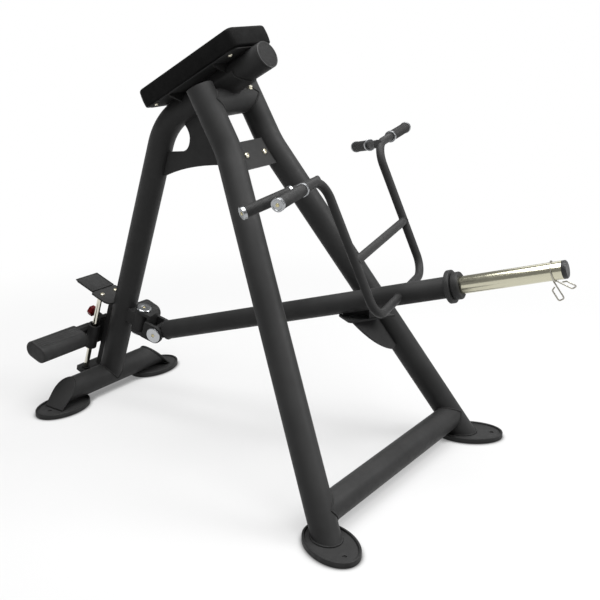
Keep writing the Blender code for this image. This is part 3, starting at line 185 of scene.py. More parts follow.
def foot(word, place, hole_out):
    """The rim is a ring of rubber on a closed rubber sole, and the plate a flat oval in it. The plate's rows
    go from its hole to its edge, as shares of the way and depths below its top."""
    def rim(inset):
        return ellipse(FOOT_LENGTH / 2 - inset, FOOT_WIDTH / 2 - inset)

    levels = [(rim(0.004), 0), (rim(0.001), 0.0006), (rim(0), 0.002)]
    levels += [(rim(FOOT_EDGE - FOOT_EDGE * math.cos(a)), FOOT_HEIGHT - FOOT_EDGE + FOOT_EDGE * math.sin(a))
               for a in np.linspace(0, QUARTER_TURN, 5)]
    levels += [(rim(FOOT_RIM - 0.0025 + FOOT_LIP * math.sin(a)), FOOT_HEIGHT - FOOT_LIP * (1 - math.cos(a)))
               for a in np.linspace(0, QUARTER_TURN, 4)]
    levels += [(rim(FOOT_RIM), 0.0125), (rim(FOOT_RIM + 0.002), 0.0100)]
    skin("foot_rim_" + word, stacked(levels), place, rubber, "frame", "moulded_rubber", ("foot_" + word,))
    hole = ellipse(FOOT_HOLE, FOOT_HOLE) + (hole_out, 0)
    outer = rim(FOOT_RIM + 0.0002)
    rows = [(hole * (1 - share) + outer * share, FOOT_PLATE_TOP - depth)
            for share, depth in ((0.0, 0.0029), (0.0, 0.0005), (0.01, 0), (0.1, 0), (0.5, 0), (0.98, 0),
                                 (0.995, 0.0002), (1.0, 0.0006), (1.0, 0.0029))]
    coated("foot_plate_" + word, stacked(rows), place, ends="ring")


for word, side in SIDES:
    foot("front_" + word, at(machine, (side * FRONT_FOOT_OUT, 0, 0), (0, 0, 90 - 90 * side)), FRONT_HOLE_OUT)
    splay = LEG_FLOOR[side] - LEG_BEND[side]
    out = Vector((splay.x, splay.y, 0)).normalized()
    foot("rear_" + word, at(machine, LEG_FLOOR[side] + out * REAR_FOOT_OUT,
                            (0, 0, math.degrees(math.atan2(out.y, out.x)))), REAR_HOLE_OUT)


# Front base tube: a 76 mm tube cut slantwise at both ends, where thick plates close it. A weld runs round
# behind each plate, and the powder coat over its ripples looks a little duller.
weld_coat = uneven_material("powder_coated_weld", 1.5, 0.16, ("2C2C2C", "353535"), 40.0, (0.5, 0.62), 120.0,
                            (500.0,), 0.0003, 0.5)
WELD_STEP = 0.003
ASKEW = (0.31, 0.87, 0.38)


def pipe(path, radius, sides=64, start_cut=None, end_cut=None, ring=False):
    """Rings of a round tube along a path. A cut is a function of (points, direction) that says how far each
    point of an end ring moves along the tube. No tube starts along ASKEW."""
    path = np.array(path, float)
    if ring:
        tangents = np.roll(path, -1, 0) - np.roll(path, 1, 0)
    else:
        steps = np.diff(path, axis=0)
        steps /= np.linalg.norm(steps, axis=1)[:, None]
        tangents = np.vstack([steps[:1], steps[1:] + steps[:-1], steps[-1:]])
    tangents /= np.linalg.norm(tangents, axis=1)[:, None]
    radii = np.broadcast_to(radius, len(path))
    side = np.cross(tangents[0], ASKEW)
    angles = np.arange(sides) * 2 * np.pi / sides
    rings = []
    for point, tangent, size in zip(path, tangents, radii):
        side = side - tangent * (side @ tangent)
        side /= np.linalg.norm(side)
        other = np.cross(tangent, side)
        rings.append(point + size * (np.outer(np.cos(angles), side) + np.outer(np.sin(angles), other)))
    rings = np.stack(rings)
    if start_cut:
        rings[0] += np.outer(start_cut(rings[0], -tangents[0]), -tangents[0])
    if end_cut:
        rings[-1] += np.outer(end_cut(rings[-1], tangents[-1]), tangents[-1])
    return rings


def plane_cut(point, normal):
    """Ends a tube on a plane."""
    point, normal = np.array(point, float), np.array(normal, float)
    return lambda points, direction: ((point - points) @ normal) / (direction @ normal)


def bead(name, curve, place, body, width=0.0028, closed=True):
    """A weld: a rippled roll along a curve. The ripples are about 3 mm apart, as a welder's steps are."""
    curve = np.array(curve, float)
    source = np.vstack([curve, curve[:1]]) if closed else curve
    lengths = np.linalg.norm(np.diff(source, axis=0), axis=1)
    total = lengths.sum()
    waves = max(4, round(total / WELD_STEP))
    count = waves * 6
    marks = np.concatenate([[0], np.cumsum(lengths)])
    spots = np.linspace(0, total, count, endpoint=not closed)
    fine = np.stack([np.interp(spots, marks, source[:, k]) for k in range(3)], -1)
    swell = width * (1 + 0.16 * np.cos(np.arange(count) * 2 * np.pi * waves / count))
    if not closed:
        swell = swell * np.sqrt(np.clip(np.minimum(spots, total - spots) / width + 0.1, 0.1, 1))
    skin(name, pipe(fine, swell, 10, ring=closed), place, weld_coat, body, "powder_coat",
         ends="ring" if closed else "closed", sharp=80)


def meeting(point, direction, radius, cut, count=96):
    """The curve in which a straight tube from a point meets what cuts it."""
    direction = np.array(direction, float)
    direction = direction / np.linalg.norm(direction)
    ring = pipe([point, np.array(point) + direction], radius, count)[0]
    return ring + np.outer(cut(ring, direction), direction)


def inset_outline(outline, amount):
    """The outline moved inward by an amount. It runs counterclockwise."""
    before = outline - np.roll(outline, 1, 0)
    after = np.roll(outline, -1, 0) - outline
    first = np.stack([-before[:, 1], before[:, 0]], -1) / np.linalg.norm(before, axis=1)[:, None]
    second = np.stack([-after[:, 1], after[:, 0]], -1) / np.linalg.norm(after, axis=1)[:, None]
    shift = (first + second) / np.maximum(1 + (first * second).sum(1), 0.4)[:, None]
    return outline + shift * amount


def arc(radius, steps=5):
    """Insets and rises of a quarter round, as pairs from 0 to the radius."""
    a = np.linspace(0, np.pi / 2, steps)
    return [(radius * (1 - math.cos(x)), radius * math.sin(x)) for x in a]


def slab(outline, low, high, edge=0.001, steps=4):
    """A plate from an outline, with both its edges rounded."""
    outline = np.array(outline, float)
    levels = [(inset_outline(outline, 2 * edge), low)]
    rounds = arc(edge, steps)
    levels += [(inset_outline(outline, inset), low + edge - rise) for inset, rise in rounds[::-1]]
    levels += [(inset_outline(outline, inset), high - edge + rise) for inset, rise in rounds]
    levels += [(inset_outline(outline, 2 * edge), high)]
    return stacked(levels)


# TUBE is the radius of the frame's tubes, and GAP what the solids leave free between pieces that touch.
TUBE = 0.038
GAP = 0.0003
BASE_HEIGHT, BASE_HALF, BASE_PLATE, BASE_SLOPE = 0.055, 0.213, 0.005, 45
PLATE_PROUD, PLATE_SOLE = 0.004, 0.0385
slope = math.radians(BASE_SLOPE)
end_normal = {side: (side * math.cos(slope), 0, math.sin(slope)) for _, side in SIDES}
shown_half = BASE_HALF - BASE_PLATE / math.cos(slope)
base_axis = at(machine, (0, 0, BASE_HEIGHT))
coated("base_tube", pipe(np.linspace((-shown_half, 0, 0), (shown_half, 0, 0), 9), TUBE,
                         start_cut=plane_cut((-shown_half, 0, 0), end_normal[-1]),
                         end_cut=plane_cut((shown_half, 0, 0), end_normal[1])), base_axis, "front_base_tube")
half_width = TUBE + PLATE_PROUD
half_height = TUBE / math.cos(slope) + PLATE_PROUD
foot_line = -(BASE_HEIGHT - FOOT_PLATE_TOP - GAP - BASE_PLATE * math.sin(slope)) / math.cos(slope)
a = np.linspace(0, np.pi, 33)
end_outline = np.vstack([[(PLATE_SOLE, foot_line)],
                         np.stack([half_width * np.cos(a), half_height * np.sin(a)], -1),
                         [(-PLATE_SOLE, foot_line)]])
for word, side in SIDES:
    plate_place = at(machine, (side * (BASE_HALF + GAP / math.cos(slope)), 0, BASE_HEIGHT),
                     (BASE_SLOPE, 0, side * 90))
    coated("base_end_plate_" + word + "_piece", slab(end_outline, -BASE_PLATE, 0, 0.0008), plate_place,
           "base_end_plate_" + word)
    behind = plane_cut((side * (shown_half - 0.001), 0, 0), end_normal[side])
    bead("weld_base_end_" + word, meeting((0, 0, 0), (side, 0, 0), TUBE, behind), base_axis, "frame", 0.0024)


# Spine: one tube that rises from the base tube, bends under the pad and runs on as the pad tube, where a
# push-in plug with a grained face closes it.
def rounded(points, radii, steps=8):
    """A path whose inner corners are arcs. radii has one radius for each inner corner."""
    points = [np.array(p, float) for p in points]
    path = [points[0]]
    for before, middle, after, radius in zip(points, points[1:], points[2:], radii):
        incoming = (middle - before) / np.linalg.norm(middle - before)
        outgoing = (after - middle) / np.linalg.norm(after - middle)
        turn = math.acos(float(np.clip(incoming @ outgoing, -1, 1)))
        start = middle - incoming * radius * math.tan(turn / 2)
        inward = outgoing - incoming * (incoming @ outgoing)
        inward /= np.linalg.norm(inward)
        for a in np.linspace(0, turn, steps + 1):
            path.append(start + inward * radius * (1 - math.cos(a)) + incoming * radius * math.sin(a))
    path.append(points[-1])
    return np.array(path)


def tube_cut(point, axis, radius):
    """Ends a tube on the near side of another round tube."""
    point, axis = np.array(point, float), np.array(axis, float)
    axis = axis / np.linalg.norm(axis)

    def reach(points, direction):
        level = direction - axis * (direction @ axis)
        away = points - point
        away = away - np.outer(away @ axis, axis)
        a = level @ level
        b = away @ level
        c = (away ** 2).sum(1) - radius ** 2
        return (-b - np.sqrt(np.maximum(b * b - a * c, 0))) / a

    return reach


# The pad tube's own frame stands in the bend's corner, with Y up the tube. The spine's path starts
# SPINE_START up its axis and is cut back onto the base tube. Its upper end has a broken edge.
SPINE_LEAN, PAD_ANGLE = 18.92, 29.3
SPINE_TO_CORNER, SPINE_BEND, SPINE_START = 0.9160, 0.191, 0.06
PAD_TUBE_LENGTH, END_EDGE = 0.4250, 0.001
corner = Vector((0, SPINE_TO_CORNER * math.sin(math.radians(SPINE_LEAN)),
                 BASE_HEIGHT + SPINE_TO_CORNER * math.cos(math.radians(SPINE_LEAN))))
pad_tube = at(machine, corner, (PAD_ANGLE, 0, 0))
pad_along = Vector((0, math.cos(math.radians(PAD_ANGLE)), math.sin(math.radians(PAD_ANGLE))))
pad_end = corner + pad_along * PAD_TUBE_LENGTH
spine_line = rounded([(0, 0, BASE_HEIGHT), corner, pad_end], [SPINE_BEND], 26)
spine_up = (corner - Vector((0, 0, BASE_HEIGHT))).normalized()
on_base = tube_cut((0, 0, BASE_HEIGHT), (1, 0, 0), TUBE)
spine_line[0] = spine_line[0] + np.array(spine_up) * SPINE_START
end_arc = arc(END_EDGE, 4)
end_points = [spine_line[-1] + np.array(pad_along) * (rise - END_EDGE) for _, rise in end_arc]
spine_path = np.vstack([spine_line[:-1], end_points])
spine_radii = [TUBE] * (len(spine_line) - 1) + [TUBE - inset for inset, _ in end_arc]
coated("spine_tube_piece", pipe(spine_path, spine_radii, start_cut=on_base), machine, "spine_tube")
spine_start = Vector((0, 0, BASE_HEIGHT)) + spine_up * SPINE_START
bead("weld_spine_base", meeting(spine_start, -spine_up, TUBE, on_base), machine, "frame")


def turned(profile, sides=64):
    """A solid of revolution about Z from (radius, height) pairs, given as rings."""
    profile = np.array(profile, float)
    a = np.arange(sides) * 2 * np.pi / sides
    return np.stack([np.outer(profile[:, 0], np.cos(a)), np.outer(profile[:, 0], np.sin(a)),
                     np.outer(profile[:, 1], np.ones(sides))], -1)


def eased(profile, edge, steps=4):
    """The profile with its inner corners rounded."""
    return rounded(profile, [edge] * (len(profile) - 2), steps)


def lathe(name, profile, edge, place, finish, body, slot, stands_for=(), sides=64, steps=4, **more):
    """A turned piece whose profile has its inner corners rounded."""
    grid = turned(eased(profile, edge, steps), sides)
    skin(name, grid, place, finish, body, slot, stands_for, **more)


def cell_edges(tree, scale):
    """How far a point lies from the edge of its leather-like cell, as a share of the cells' width."""
    place = put(tree, "ShaderNodeTexCoord").outputs["Object"]
    return put(tree, "ShaderNodeTexVoronoi", {"Scale": scale}, {"Vector": place},
               feature="DISTANCE_TO_EDGE").outputs["Distance"]


def grained_plastic():
    """Black polyethylene plug: the moulded face has a coarse leather-like grain, in cells of 3 to 4 mm."""
    made, tree, shader = start_material("grained_polyethylene", IOR=1.5, Specular_IOR_Level=0.26,
                                        Roughness=0.5)
    cells = cell_edges(tree, 290.0)
    tone = ramp(tree, cells, linear("080808"), linear("262626"), 0.02, 0.3)
    tree.links.new(tone, shader.inputs["Base Color"])
    bump(tree, shader, ramp(tree, cells, 0.0, 1.0, 0.0, 0.35), 0.0008, 0.9)
    return made


grained = grained_plastic()
plug_black = rubber_material("smooth_polyethylene", ("242424", "2C2C2C"), (0.38, 0.5), 1500.0)
PLUG, PLUG_BORE = 0.005, 0.030
PLUG_INNER, PLUG_FACE = TUBE - 0.003, TUBE - 0.0036
plug_profile = eased([(PLUG_BORE, GAP), (TUBE, GAP), (TUBE, PLUG), (PLUG_INNER, PLUG)], 0.0015)
plug_profile = np.vstack([plug_profile[:-1], [(PLUG_INNER, PLUG), (TUBE - 0.0034, PLUG - 0.0005)]])
plug_place = at(pad_tube, (0, PAD_TUBE_LENGTH, 0), (-90, 0, 0))
skin("pad_tube_plug_rim", turned(plug_profile), plug_place, plug_black, "frame", "black_plastic",
     ("pad_tube_plug",))
lathe("pad_tube_plug_face", [(PLUG_BORE, PLUG - 0.0015), (PLUG_FACE, PLUG - 0.0015),
                             (PLUG_FACE, PLUG - 0.0001), (0.020, PLUG - 0.0001)],
      0.0004, plug_place, grained, "frame", "black_plastic")


# Rear legs: two 76 mm tubes that splay down and back, bend a little under the pad tube and are cut flush
# with the pad. A tube joins them at the floor and another one under the pad tube, which rests on a saddle.
UPPER_LEG_LEAN, LEG_BEND_RADIUS, LEG_TOP_PROUD = 30.8, 0.2, 0.0015
REAR_CROSS_HEIGHT, TOP_CROSS_ABOVE_BEND = 0.0623, 0.1395
FOOT_WELD_HEIGHT = FOOT_PLATE_TOP + 0.0013
upper_lean = math.radians(UPPER_LEG_LEAN)
UPPER_LEG = Vector((0, -math.sin(upper_lean), math.cos(upper_lean)))
pad_normal = Vector((0, -pad_along.z, pad_along.y))


def leg_top(side):
    """Where the leg's axis ends, level with the pad tube's axis."""
    bend = LEG_BEND[side]
    return bend + UPPER_LEG * (LEG_TOP_PROUD - (bend - corner).dot(pad_normal)) / UPPER_LEG.dot(pad_normal)


def leg_at(side, height):
    """Where the leg's lower axis is at a height."""
    return LEG_FLOOR[side].lerp(LEG_BEND[side], height / LEG_BEND[side].z)


leg_up = {side: (LEG_BEND[side] - LEG_FLOOR[side]).normalized() for _, side in SIDES}
low = leg_at(1, REAR_CROSS_HEIGHT)
high = LEG_BEND[1] + UPPER_LEG * TOP_CROSS_ABOVE_BEND
for word, side in SIDES:
    leg_line = rounded([leg_at(side, FOOT_PLATE_TOP + GAP), LEG_BEND[side], leg_top(side)],
                       [LEG_BEND_RADIUS], 16)
    leg_grid = pipe(leg_line, TUBE, start_cut=plane_cut(leg_line[0], (0, 0, 1)),
                    end_cut=plane_cut(leg_line[-1], pad_normal))
    coated("leg_" + word + "_piece", leg_grid, machine, "leg_" + word)
    ring = meeting(leg_at(side, 0.1), -leg_up[side], TUBE, plane_cut((0, 0, FOOT_WELD_HEIGHT), (0, 0, 1)))
    bead("weld_leg_foot_" + word, ring, machine, "frame")

leg_cuts = {side: tube_cut(LEG_FLOOR[side], leg_up[side], TUBE) for _, side in SIDES}
top_cuts = {side: tube_cut(LEG_BEND[side], UPPER_LEG, TUBE) for _, side in SIDES}
for name, point, cuts in (("rear_cross_tube", low, leg_cuts), ("top_cross_tube", high, top_cuts)):
    half = point.x * 0.5
    line = np.linspace((-half, point.y, point.z), (half, point.y, point.z), 7)
    coated(name + "_piece", pipe(line, TUBE, start_cut=cuts[-1], end_cut=cuts[1]), machine, name)
    for word, side in SIDES:
        bead("weld_" + name + "_" + word,
             meeting((side * half, point.y, point.z), (side, 0, 0), TUBE, cuts[side]), machine, "frame")


# Saddle: a curved plate round the underside of the pad tube, welded to the top cross tube. Its ends run out
# further below than at the sides.
SADDLE_IN = TUBE + GAP
SADDLE_OUT = SADDLE_IN + 0.0045
SADDLE_REACH, SADDLE_TONGUE, SADDLE_EDGE = 0.081, 0.025, 0.0006
high_from_corner = Vector((0, high.y, high.z)) - corner
saddle_middle, cross_drop = high_from_corner.dot(pad_along), high_from_corner.dot(pad_normal)
half_turn = math.pi / 2 + 0.105
rows = []
for angle in np.linspace(-half_turn, half_turn, 61):
    reach = SADDLE_REACH + SADDLE_TONGUE * max(math.cos(angle), 0) ** 2
    near, far = -reach + SADDLE_EDGE, reach - SADDLE_EDGE
    section = ((SADDLE_IN, near), (SADDLE_IN + SADDLE_EDGE, -reach), (SADDLE_OUT - SADDLE_EDGE, -reach),
               (SADDLE_OUT, near), (SADDLE_OUT, far), (SADDLE_OUT - SADDLE_EDGE, reach),
               (SADDLE_IN + SADDLE_EDGE, reach), (SADDLE_IN, far))
    rows.append([(radius * math.sin(angle), y, -radius * math.cos(angle)) for radius, y in section])
saddle_place = at(pad_tube, (0, saddle_middle, 0))
coated("saddle_sleeve_piece", np.array(rows), saddle_place, "saddle_sleeve", sharp=30)
a = np.linspace(-np.pi, np.pi, 361)
height = cross_drop + TUBE * np.cos(a)
met = height > -SADDLE_OUT
across = np.sqrt(SADDLE_OUT ** 2 - height[met] ** 2)
for word, side in SIDES:
    curve = np.stack([side * across, TUBE * np.sin(a)[met], height[met]], -1)
    bead("weld_saddle_" + word, curve, saddle_place, "frame", 0.002, closed=False)


# Plates between the tubes: an arched gusset in the middle plane, and a flat cross plate between the legs.
# Zinc-plated dome bolts hold a stop behind the cross plate, and a hexagon bolt sits in the top cross tube.
def dress(finish, *nodes, edge=0.0):
    """Gives solids that are shown as they are their finish, and breaks their sharp edges."""
    for name in nodes:
        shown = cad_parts[name]
        shown.data.materials.clear()
        shown.data.materials.append(finish)
        if edge:
            bevel = shown.modifiers.new("edges", "BEVEL")
            bevel.width = edge
            bevel.segments = 2
            bevel.limit_method = "ANGLE"
            bevel.angle_limit = math.radians(50)
            bevel.harden_normals = True


def plated_material(name, code, roughness, spread=0.06, grain=40.0):
    """Bright plated or polished metal, with a faint uneven polish."""
    made, tree, shader = start_material(name, Metallic=1.0, Base_Color=linear(code))
    polish = ramp(tree, noise(tree, grain, 4.0), roughness, roughness + spread)
    tree.links.new(polish, shader.inputs["Roughness"])
    return made


zinc = plated_material("zinc_plated_steel", "DDD8C6", 0.24, 0.12, 200.0)
dress(coat, "mid_gusset", "leg_cross_plate", edge=0.0008)


def hexagon(across_flats, a):
    """Radii of a hexagon at the angles."""
    return across_flats / 2 / np.cos((a + np.pi / 6) % (np.pi / 3) - np.pi / 6)


def screw(name, place, radius, height, body, kind="dome", finish=None):
    """A dome screw with a hexagon socket, or a hexagon bolt on a washer. Z points out of the surface."""
    a = np.arange(48) * 2 * np.pi / 48
    flat = np.full(len(a), radius)
    if kind == "dome":
        key = hexagon(0.8 * radius, a)
        rings = [(flat, 0)]
        rings += [(flat * (0.55 + 0.45 * math.cos(q)), height * (0.12 + 0.88 * math.sin(q)))
                  for q in np.linspace(0, np.pi / 2, 7)]
        rings += [(key * 1.03, height), (key, height - 0.0002), (key, height * 0.45),
                  (key * 0.3, height * 0.36)]
    else:
        washer, head = flat * 1.22, hexagon(1.75 * radius, a)
        rings = [(washer, 0), (washer, 0.0008), (washer - 0.0003, 0.0011), (head * 1.001, 0.0011),
                 (head, height * 0.86), (np.minimum(head, radius * 0.86), height), (flat * 0.5, height)]
    grid = stacked([(np.stack([radii * np.cos(a), radii * np.sin(a)], -1), z) for radii, z in rings])
    skin(name, grid, place, finish or zinc, body, "zinc_wire", sharp=35)


STOP_BOLT, STOP_BOLT_HEIGHT = 0.0085, 0.0055
TUBE_BOLT, TUBE_BOLT_HEIGHT, TUBE_BOLT_ACROSS, TUBE_BOLT_ANGLE = 0.0075, 0.006, -0.068, 62
WASHER_SUNK = 0.992
plate_tilt = math.degrees(math.atan2(-UPPER_LEG.y, UPPER_LEG.z))
cross_plate = at(machine, (0, LEG_BEND[1].y, LEG_BEND[1].z), (plate_tilt, 0, 0))
for word, side in SIDES:
    screw("cross_plate_bolt_" + word, at(cross_plate, (side * 0.040, 0.008, -0.023), (-90, 0, 0)), STOP_BOLT,
          STOP_BOLT_HEIGHT, "frame")
out = Vector((0, math.cos(math.radians(TUBE_BOLT_ANGLE)), math.sin(math.radians(TUBE_BOLT_ANGLE))))
on_tube = Vector((TUBE_BOLT_ACROSS, high.y, high.z)) + out * TUBE * WASHER_SUNK
screw("cross_tube_bolt", at(machine, on_tube, (TUBE_BOLT_ANGLE - 90, 0, 0)), TUBE_BOLT, TUBE_BOLT_HEIGHT,
      "frame", "hexagon")


# Chest pad: a foam block under black vinyl on a steel plate, which four folded stiffeners carry. The
# vinyl is pulled round the foam, so the sides swell a little and the seam hides under the edge.
def leather_grain(tree):
    """Relief of a pressed leather grain, in cells of 2 mm."""
    return ramp(tree, cell_edges(tree, 520.0), 0.0, 1.0, 0.0, 0.3)


# Upholstery vinyl: matt black with a soft sheen.
vinyl = uneven_material("upholstery_vinyl", 1.5, 0.08, ("0C0C0C", "121212"), 25.0, (0.52, 0.66), 60.0,
                        leather_grain, 0.0003, 0.4)
PAD_MIDDLE, PAD_PLATE = 0.2098, 0.004
PAD_WIDTH, PAD_LENGTH, PAD_THICKNESS = 0.165, 0.396, 0.0555
PAD_CORNER, PAD_LOW_EDGE, PAD_TOP_EDGE, PAD_SWELL, PAD_CROWN = 0.021, 0.005, 0.010, 0.0012, 0.0014
PLATE_NARROWER, PLATE_SHORTER, PLATE_CORNER = 0.006, 0.014, 0.019
plate_bottom = TUBE + GAP


def rounded_box(half_x, half_y, radius, steps=10):
    """Outline of a rounded rectangle, counterclockwise."""
    quarter = np.linspace(0, np.pi / 2, steps)
    parts = []
    for k, (sx, sy) in enumerate(((1, 1), (-1, 1), (-1, -1), (1, -1))):
        a = quarter + k * np.pi / 2
        parts.append(np.stack([sx * (half_x - radius) + radius * np.cos(a),
                               sy * (half_y - radius) + radius * np.sin(a)], -1))
    return np.vstack(parts)


def pad_cover():
    """The covered block: flat sides that swell a little between their rounded edges, and a crowned top."""
    outline = rounded_box(PAD_WIDTH / 2 - PAD_SWELL, PAD_LENGTH / 2 - PAD_SWELL, PAD_CORNER, 16)
    high = PAD_THICKNESS - 0.0015
    rows = [(outline * share, 0.0) for share in (0.02, 0.5, 0.85)]
    rows += [(inset_outline(outline, inset), PAD_LOW_EDGE - rise)
             for inset, rise in reversed(arc(PAD_LOW_EDGE, 6))]
    for share in np.linspace(0.08, 0.92, 12):
        rows.append((inset_outline(outline, -PAD_SWELL * math.sin(share * np.pi)),
                     PAD_LOW_EDGE + (high - PAD_TOP_EDGE - PAD_LOW_EDGE) * share))
    rows += [(inset_outline(outline, inset), high - PAD_TOP_EDGE + rise)
             for inset, rise in arc(PAD_TOP_EDGE, 9)]
    inner = inset_outline(outline, PAD_TOP_EDGE)
    rows += [(inner * share, high + PAD_CROWN * (1 - share ** 2)) for share in np.linspace(0.96, 0.02, 14)]
    return stacked(rows)


pad_place = at(pad_tube, (0, PAD_MIDDLE, plate_bottom + PAD_PLATE + GAP))
pad_piece = skin("chest_pad_cover", pad_cover(), pad_place, vinyl, "frame", "pad_cover", ("chest_pad",),
                 sharp=80)
plate_outline = rounded_box(PAD_WIDTH / 2 - PLATE_NARROWER, PAD_LENGTH / 2 - PLATE_SHORTER, PLATE_CORNER)
coated("pad_plate_piece", slab(plate_outline, 0, PAD_PLATE, 0.0007),
       at(pad_tube, (0, PAD_MIDDLE, plate_bottom)), "pad_plate")
stiffeners = ["pad_stiffener_%s_%s" % (end, word) for end in ("lower", "upper") for word, _ in SIDES]
dress(coat, *stiffeners, edge=0.0006)
for number, (across, along) in enumerate(((0.066, 0.054), (0.0545, 0.355))):
    for word, side in SIDES:
        place = at(pad_tube, (side * across, along, plate_bottom), (180, 0, 0))
        screw("pad_screw_%d_%s" % (number, word), place, 0.0062, 0.0045, "frame")
for word, side in SIDES:
    line = np.linspace((side * 0.012, 0.04, TUBE - 0.0005), (side * 0.012, 0.385, TUBE - 0.0005), 40)
    bead("weld_pad_plate_" + word, line, pad_tube, "frame", 0.002, closed=False)


# Foot adjuster: two polished rods between a bottom and a top bracket, a drilled rack strip behind them and
# a small ribbed step on the top bracket. The spine's own frame has Z up the tube.
spine = at(machine, (0, 0, BASE_HEIGHT), (-SPINE_LEAN, 0, 0))
adjuster = at(spine, (0.006, 0, 0))
chrome = plated_material("chrome_plated_steel", "D2CFC2", 0.09, 0.05, 60.0)
dress(coat, "bottom_bracket", "top_bracket", "rack_strip", edge=0.0008)
ROD, ROD_SPACING, ROD_FORWARD = 0.008, 0.067, 0.075
BOTTOM_BRACKET, TOP_BRACKET, BRACKET = -0.0173, 0.2747, 0.006
COLLAR, COLLAR_HEIGHT = 0.013, 0.006
TREAD_WIDTH, TREAD_LENGTH, TREAD_THICKNESS, TREAD_BACK = 0.094, 0.081, 0.0035, -0.099
TREAD_PITCH, TREAD_GROOVE, TREAD_BORDER = 0.005, 0.0014, 0.005
RACK_HOLES, RACK_PITCH, RACK_FIRST, RACK_FACE = 10, 0.025, 0.0225, 0.020


def band(inner, outer, low, high):
    """Profile of a plain ring or round bar between two heights."""
    return [(inner, low), (outer, low), (outer, high), (inner, high)]


rod_low, rod_high = BOTTOM_BRACKET + BRACKET + GAP, TOP_BRACKET - GAP
for word, side in SIDES:
    rod_place = at(adjuster, (side * ROD_SPACING / 2, -ROD_FORWARD, 0))
    lathe("guide_rod_piece_" + word, band(ROD / 2, ROD, rod_low, rod_high), 0.0008, rod_place, chrome,
          "frame", "nickel_plate", ("guide_rod_" + word,))
    lathe("rod_collar_" + word, band(ROD + 0.0004, COLLAR, rod_low, rod_low + COLLAR_HEIGHT), 0.001,
          rod_place, coat, "frame", "powder_coat", ends="ring")


def ribbed_sheet(half_x, low_y, high_y, bottom, thickness, pitch, depth, border):
    """A rubber sheet whose top carries ribs along Y inside a plain border: rings across it, from one side
    to the other, each going over the top and back under."""
    x = np.linspace(-half_x, half_x, 1 + int(round(2 * half_x / pitch)) * 10)
    top = np.full(len(x), bottom + thickness)
    inner = np.abs(x) < half_x - border
    top[inner] -= depth * (0.5 - 0.5 * np.cos(2 * np.pi * (x[inner] - half_x + border) / pitch)) ** 0.6
    rows = []
    for k, point in enumerate(x):
        edge = 0.0008 if k in (0, len(x) - 1) else 0.0
        high, ribs = bottom + thickness - edge, top[k] - edge
        ring = ((low_y + edge, bottom), (high_y - edge, bottom), (high_y - edge, high),
                (high_y - border, high), (high_y - border - 0.001, ribs), (low_y + border + 0.001, ribs),
                (low_y + border, high), (low_y + edge, high))
        rows.append([(point, y, z) for y, z in ring])
    return np.array(rows)


tread = ribbed_sheet(TREAD_WIDTH / 2, TREAD_BACK - TREAD_LENGTH, TREAD_BACK, TOP_BRACKET + BRACKET + GAP,
                     TREAD_THICKNESS, TREAD_PITCH, TREAD_GROOVE, TREAD_BORDER)
skin("step_tread_piece", tread, adjuster, rubber, "frame", "moulded_rubber", ("step_tread",), sharp=30)
for word, side in SIDES:
    screw("top_bracket_screw_" + word, at(adjuster, (side * 0.029, -0.0725, TOP_BRACKET + BRACKET)), 0.0080,
          0.0048, "frame")
for k in range(RACK_HOLES):
    place = at(spine, (0, -TUBE - GAP - RACK_FACE, RACK_FIRST + RACK_PITCH * k), (90, 0, 0))
    lathe("rack_hole_liner_%d" % k, [(0.0046, -0.008), (0.0049, -0.008), (0.0049, 0.0006), (0.0058, 0.0006),
                                     (0.0058, 0.0009), (0.0046, 0.0009)],
          0.0001, place, zinc, "frame", "zinc_wire", sides=24, ends="ring")


# Foot carriage: two sleeves run on the rods, with a crosspiece between them. A flat oval bar sticks out of
# each, in a thick rubber sleeve with fine ribs along its top and bottom.
CARRIAGE_LOW, FOOT_BAR_HEIGHT, FOOT_BAR_FORWARD = 0.0787, 0.1307, 0.082
FOOT_BAR_REACH, FOOT_BAR_SHIFT = 0.264, 0.007
RUBBER_WIDE, RUBBER_HIGH = 0.079 / 2 + 0.0045, 0.044 / 2 + 0.0045
RUBBER_START, RUBBER_GROOVE, RUBBER_PITCH = 0.0895, 0.0016, 0.0078
carriage = at(adjuster, (0, -ROD_FORWARD, CARRIAGE_LOW))
dress(coat, "carriage_body", edge=0.0008)
dress(coat, "foot_bar_right", "foot_bar_left", "pin_housing")


def stadium(half_x, half_y, groove=0.0):
    """Outline with half-round ends along X. The flat sides may carry ribs, with a shallow groove between."""
    straight = half_x - half_y
    ribs = int(2 * straight / RUBBER_PITCH)
    x = np.linspace(straight, -straight, 1 + 8 * ribs)
    sunk = groove * (0.5 - 0.5 * np.cos(2 * np.pi * (straight - x) / (2 * straight) * ribs))
    a = np.linspace(0, np.pi, 25)[1:-1]
    right = np.stack([straight + half_y * np.sin(a), -half_y * np.cos(a)], -1)
    return np.vstack([np.stack([x, half_y - sunk], -1), -right, np.stack([-x, -half_y + sunk], -1), right])


plain = stadium(RUBBER_WIDE, RUBBER_HIGH)
ribbed = stadium(RUBBER_WIDE, RUBBER_HIGH, RUBBER_GROOVE)
for word, side in SIDES:
    reach = FOOT_BAR_REACH + side * FOOT_BAR_SHIFT
    place = at(carriage, (0, ROD_FORWARD - FOOT_BAR_FORWARD, FOOT_BAR_HEIGHT - CARRIAGE_LOW),
               (90, 0, side * 90))
    levels = [(inset_outline(plain, inset), RUBBER_START - rise) for inset, rise in reversed(arc(0.0015))]
    levels += [(plain, RUBBER_START + 0.004), (ribbed, RUBBER_START + 0.005), (ribbed, reach - 0.0105),
               (plain, reach - 0.0097)]
    levels += [(inset_outline(plain, inset), reach - 0.005 + rise) for inset, rise in arc(0.005)]
    levels += [(inset_outline(plain, 0.008), reach)]
    skin("foot_rubber_piece_" + word, stacked(levels), place, rubber, "foot_carriage", "moulded_rubber",
         ("foot_rubber_" + word,), sharp=50)


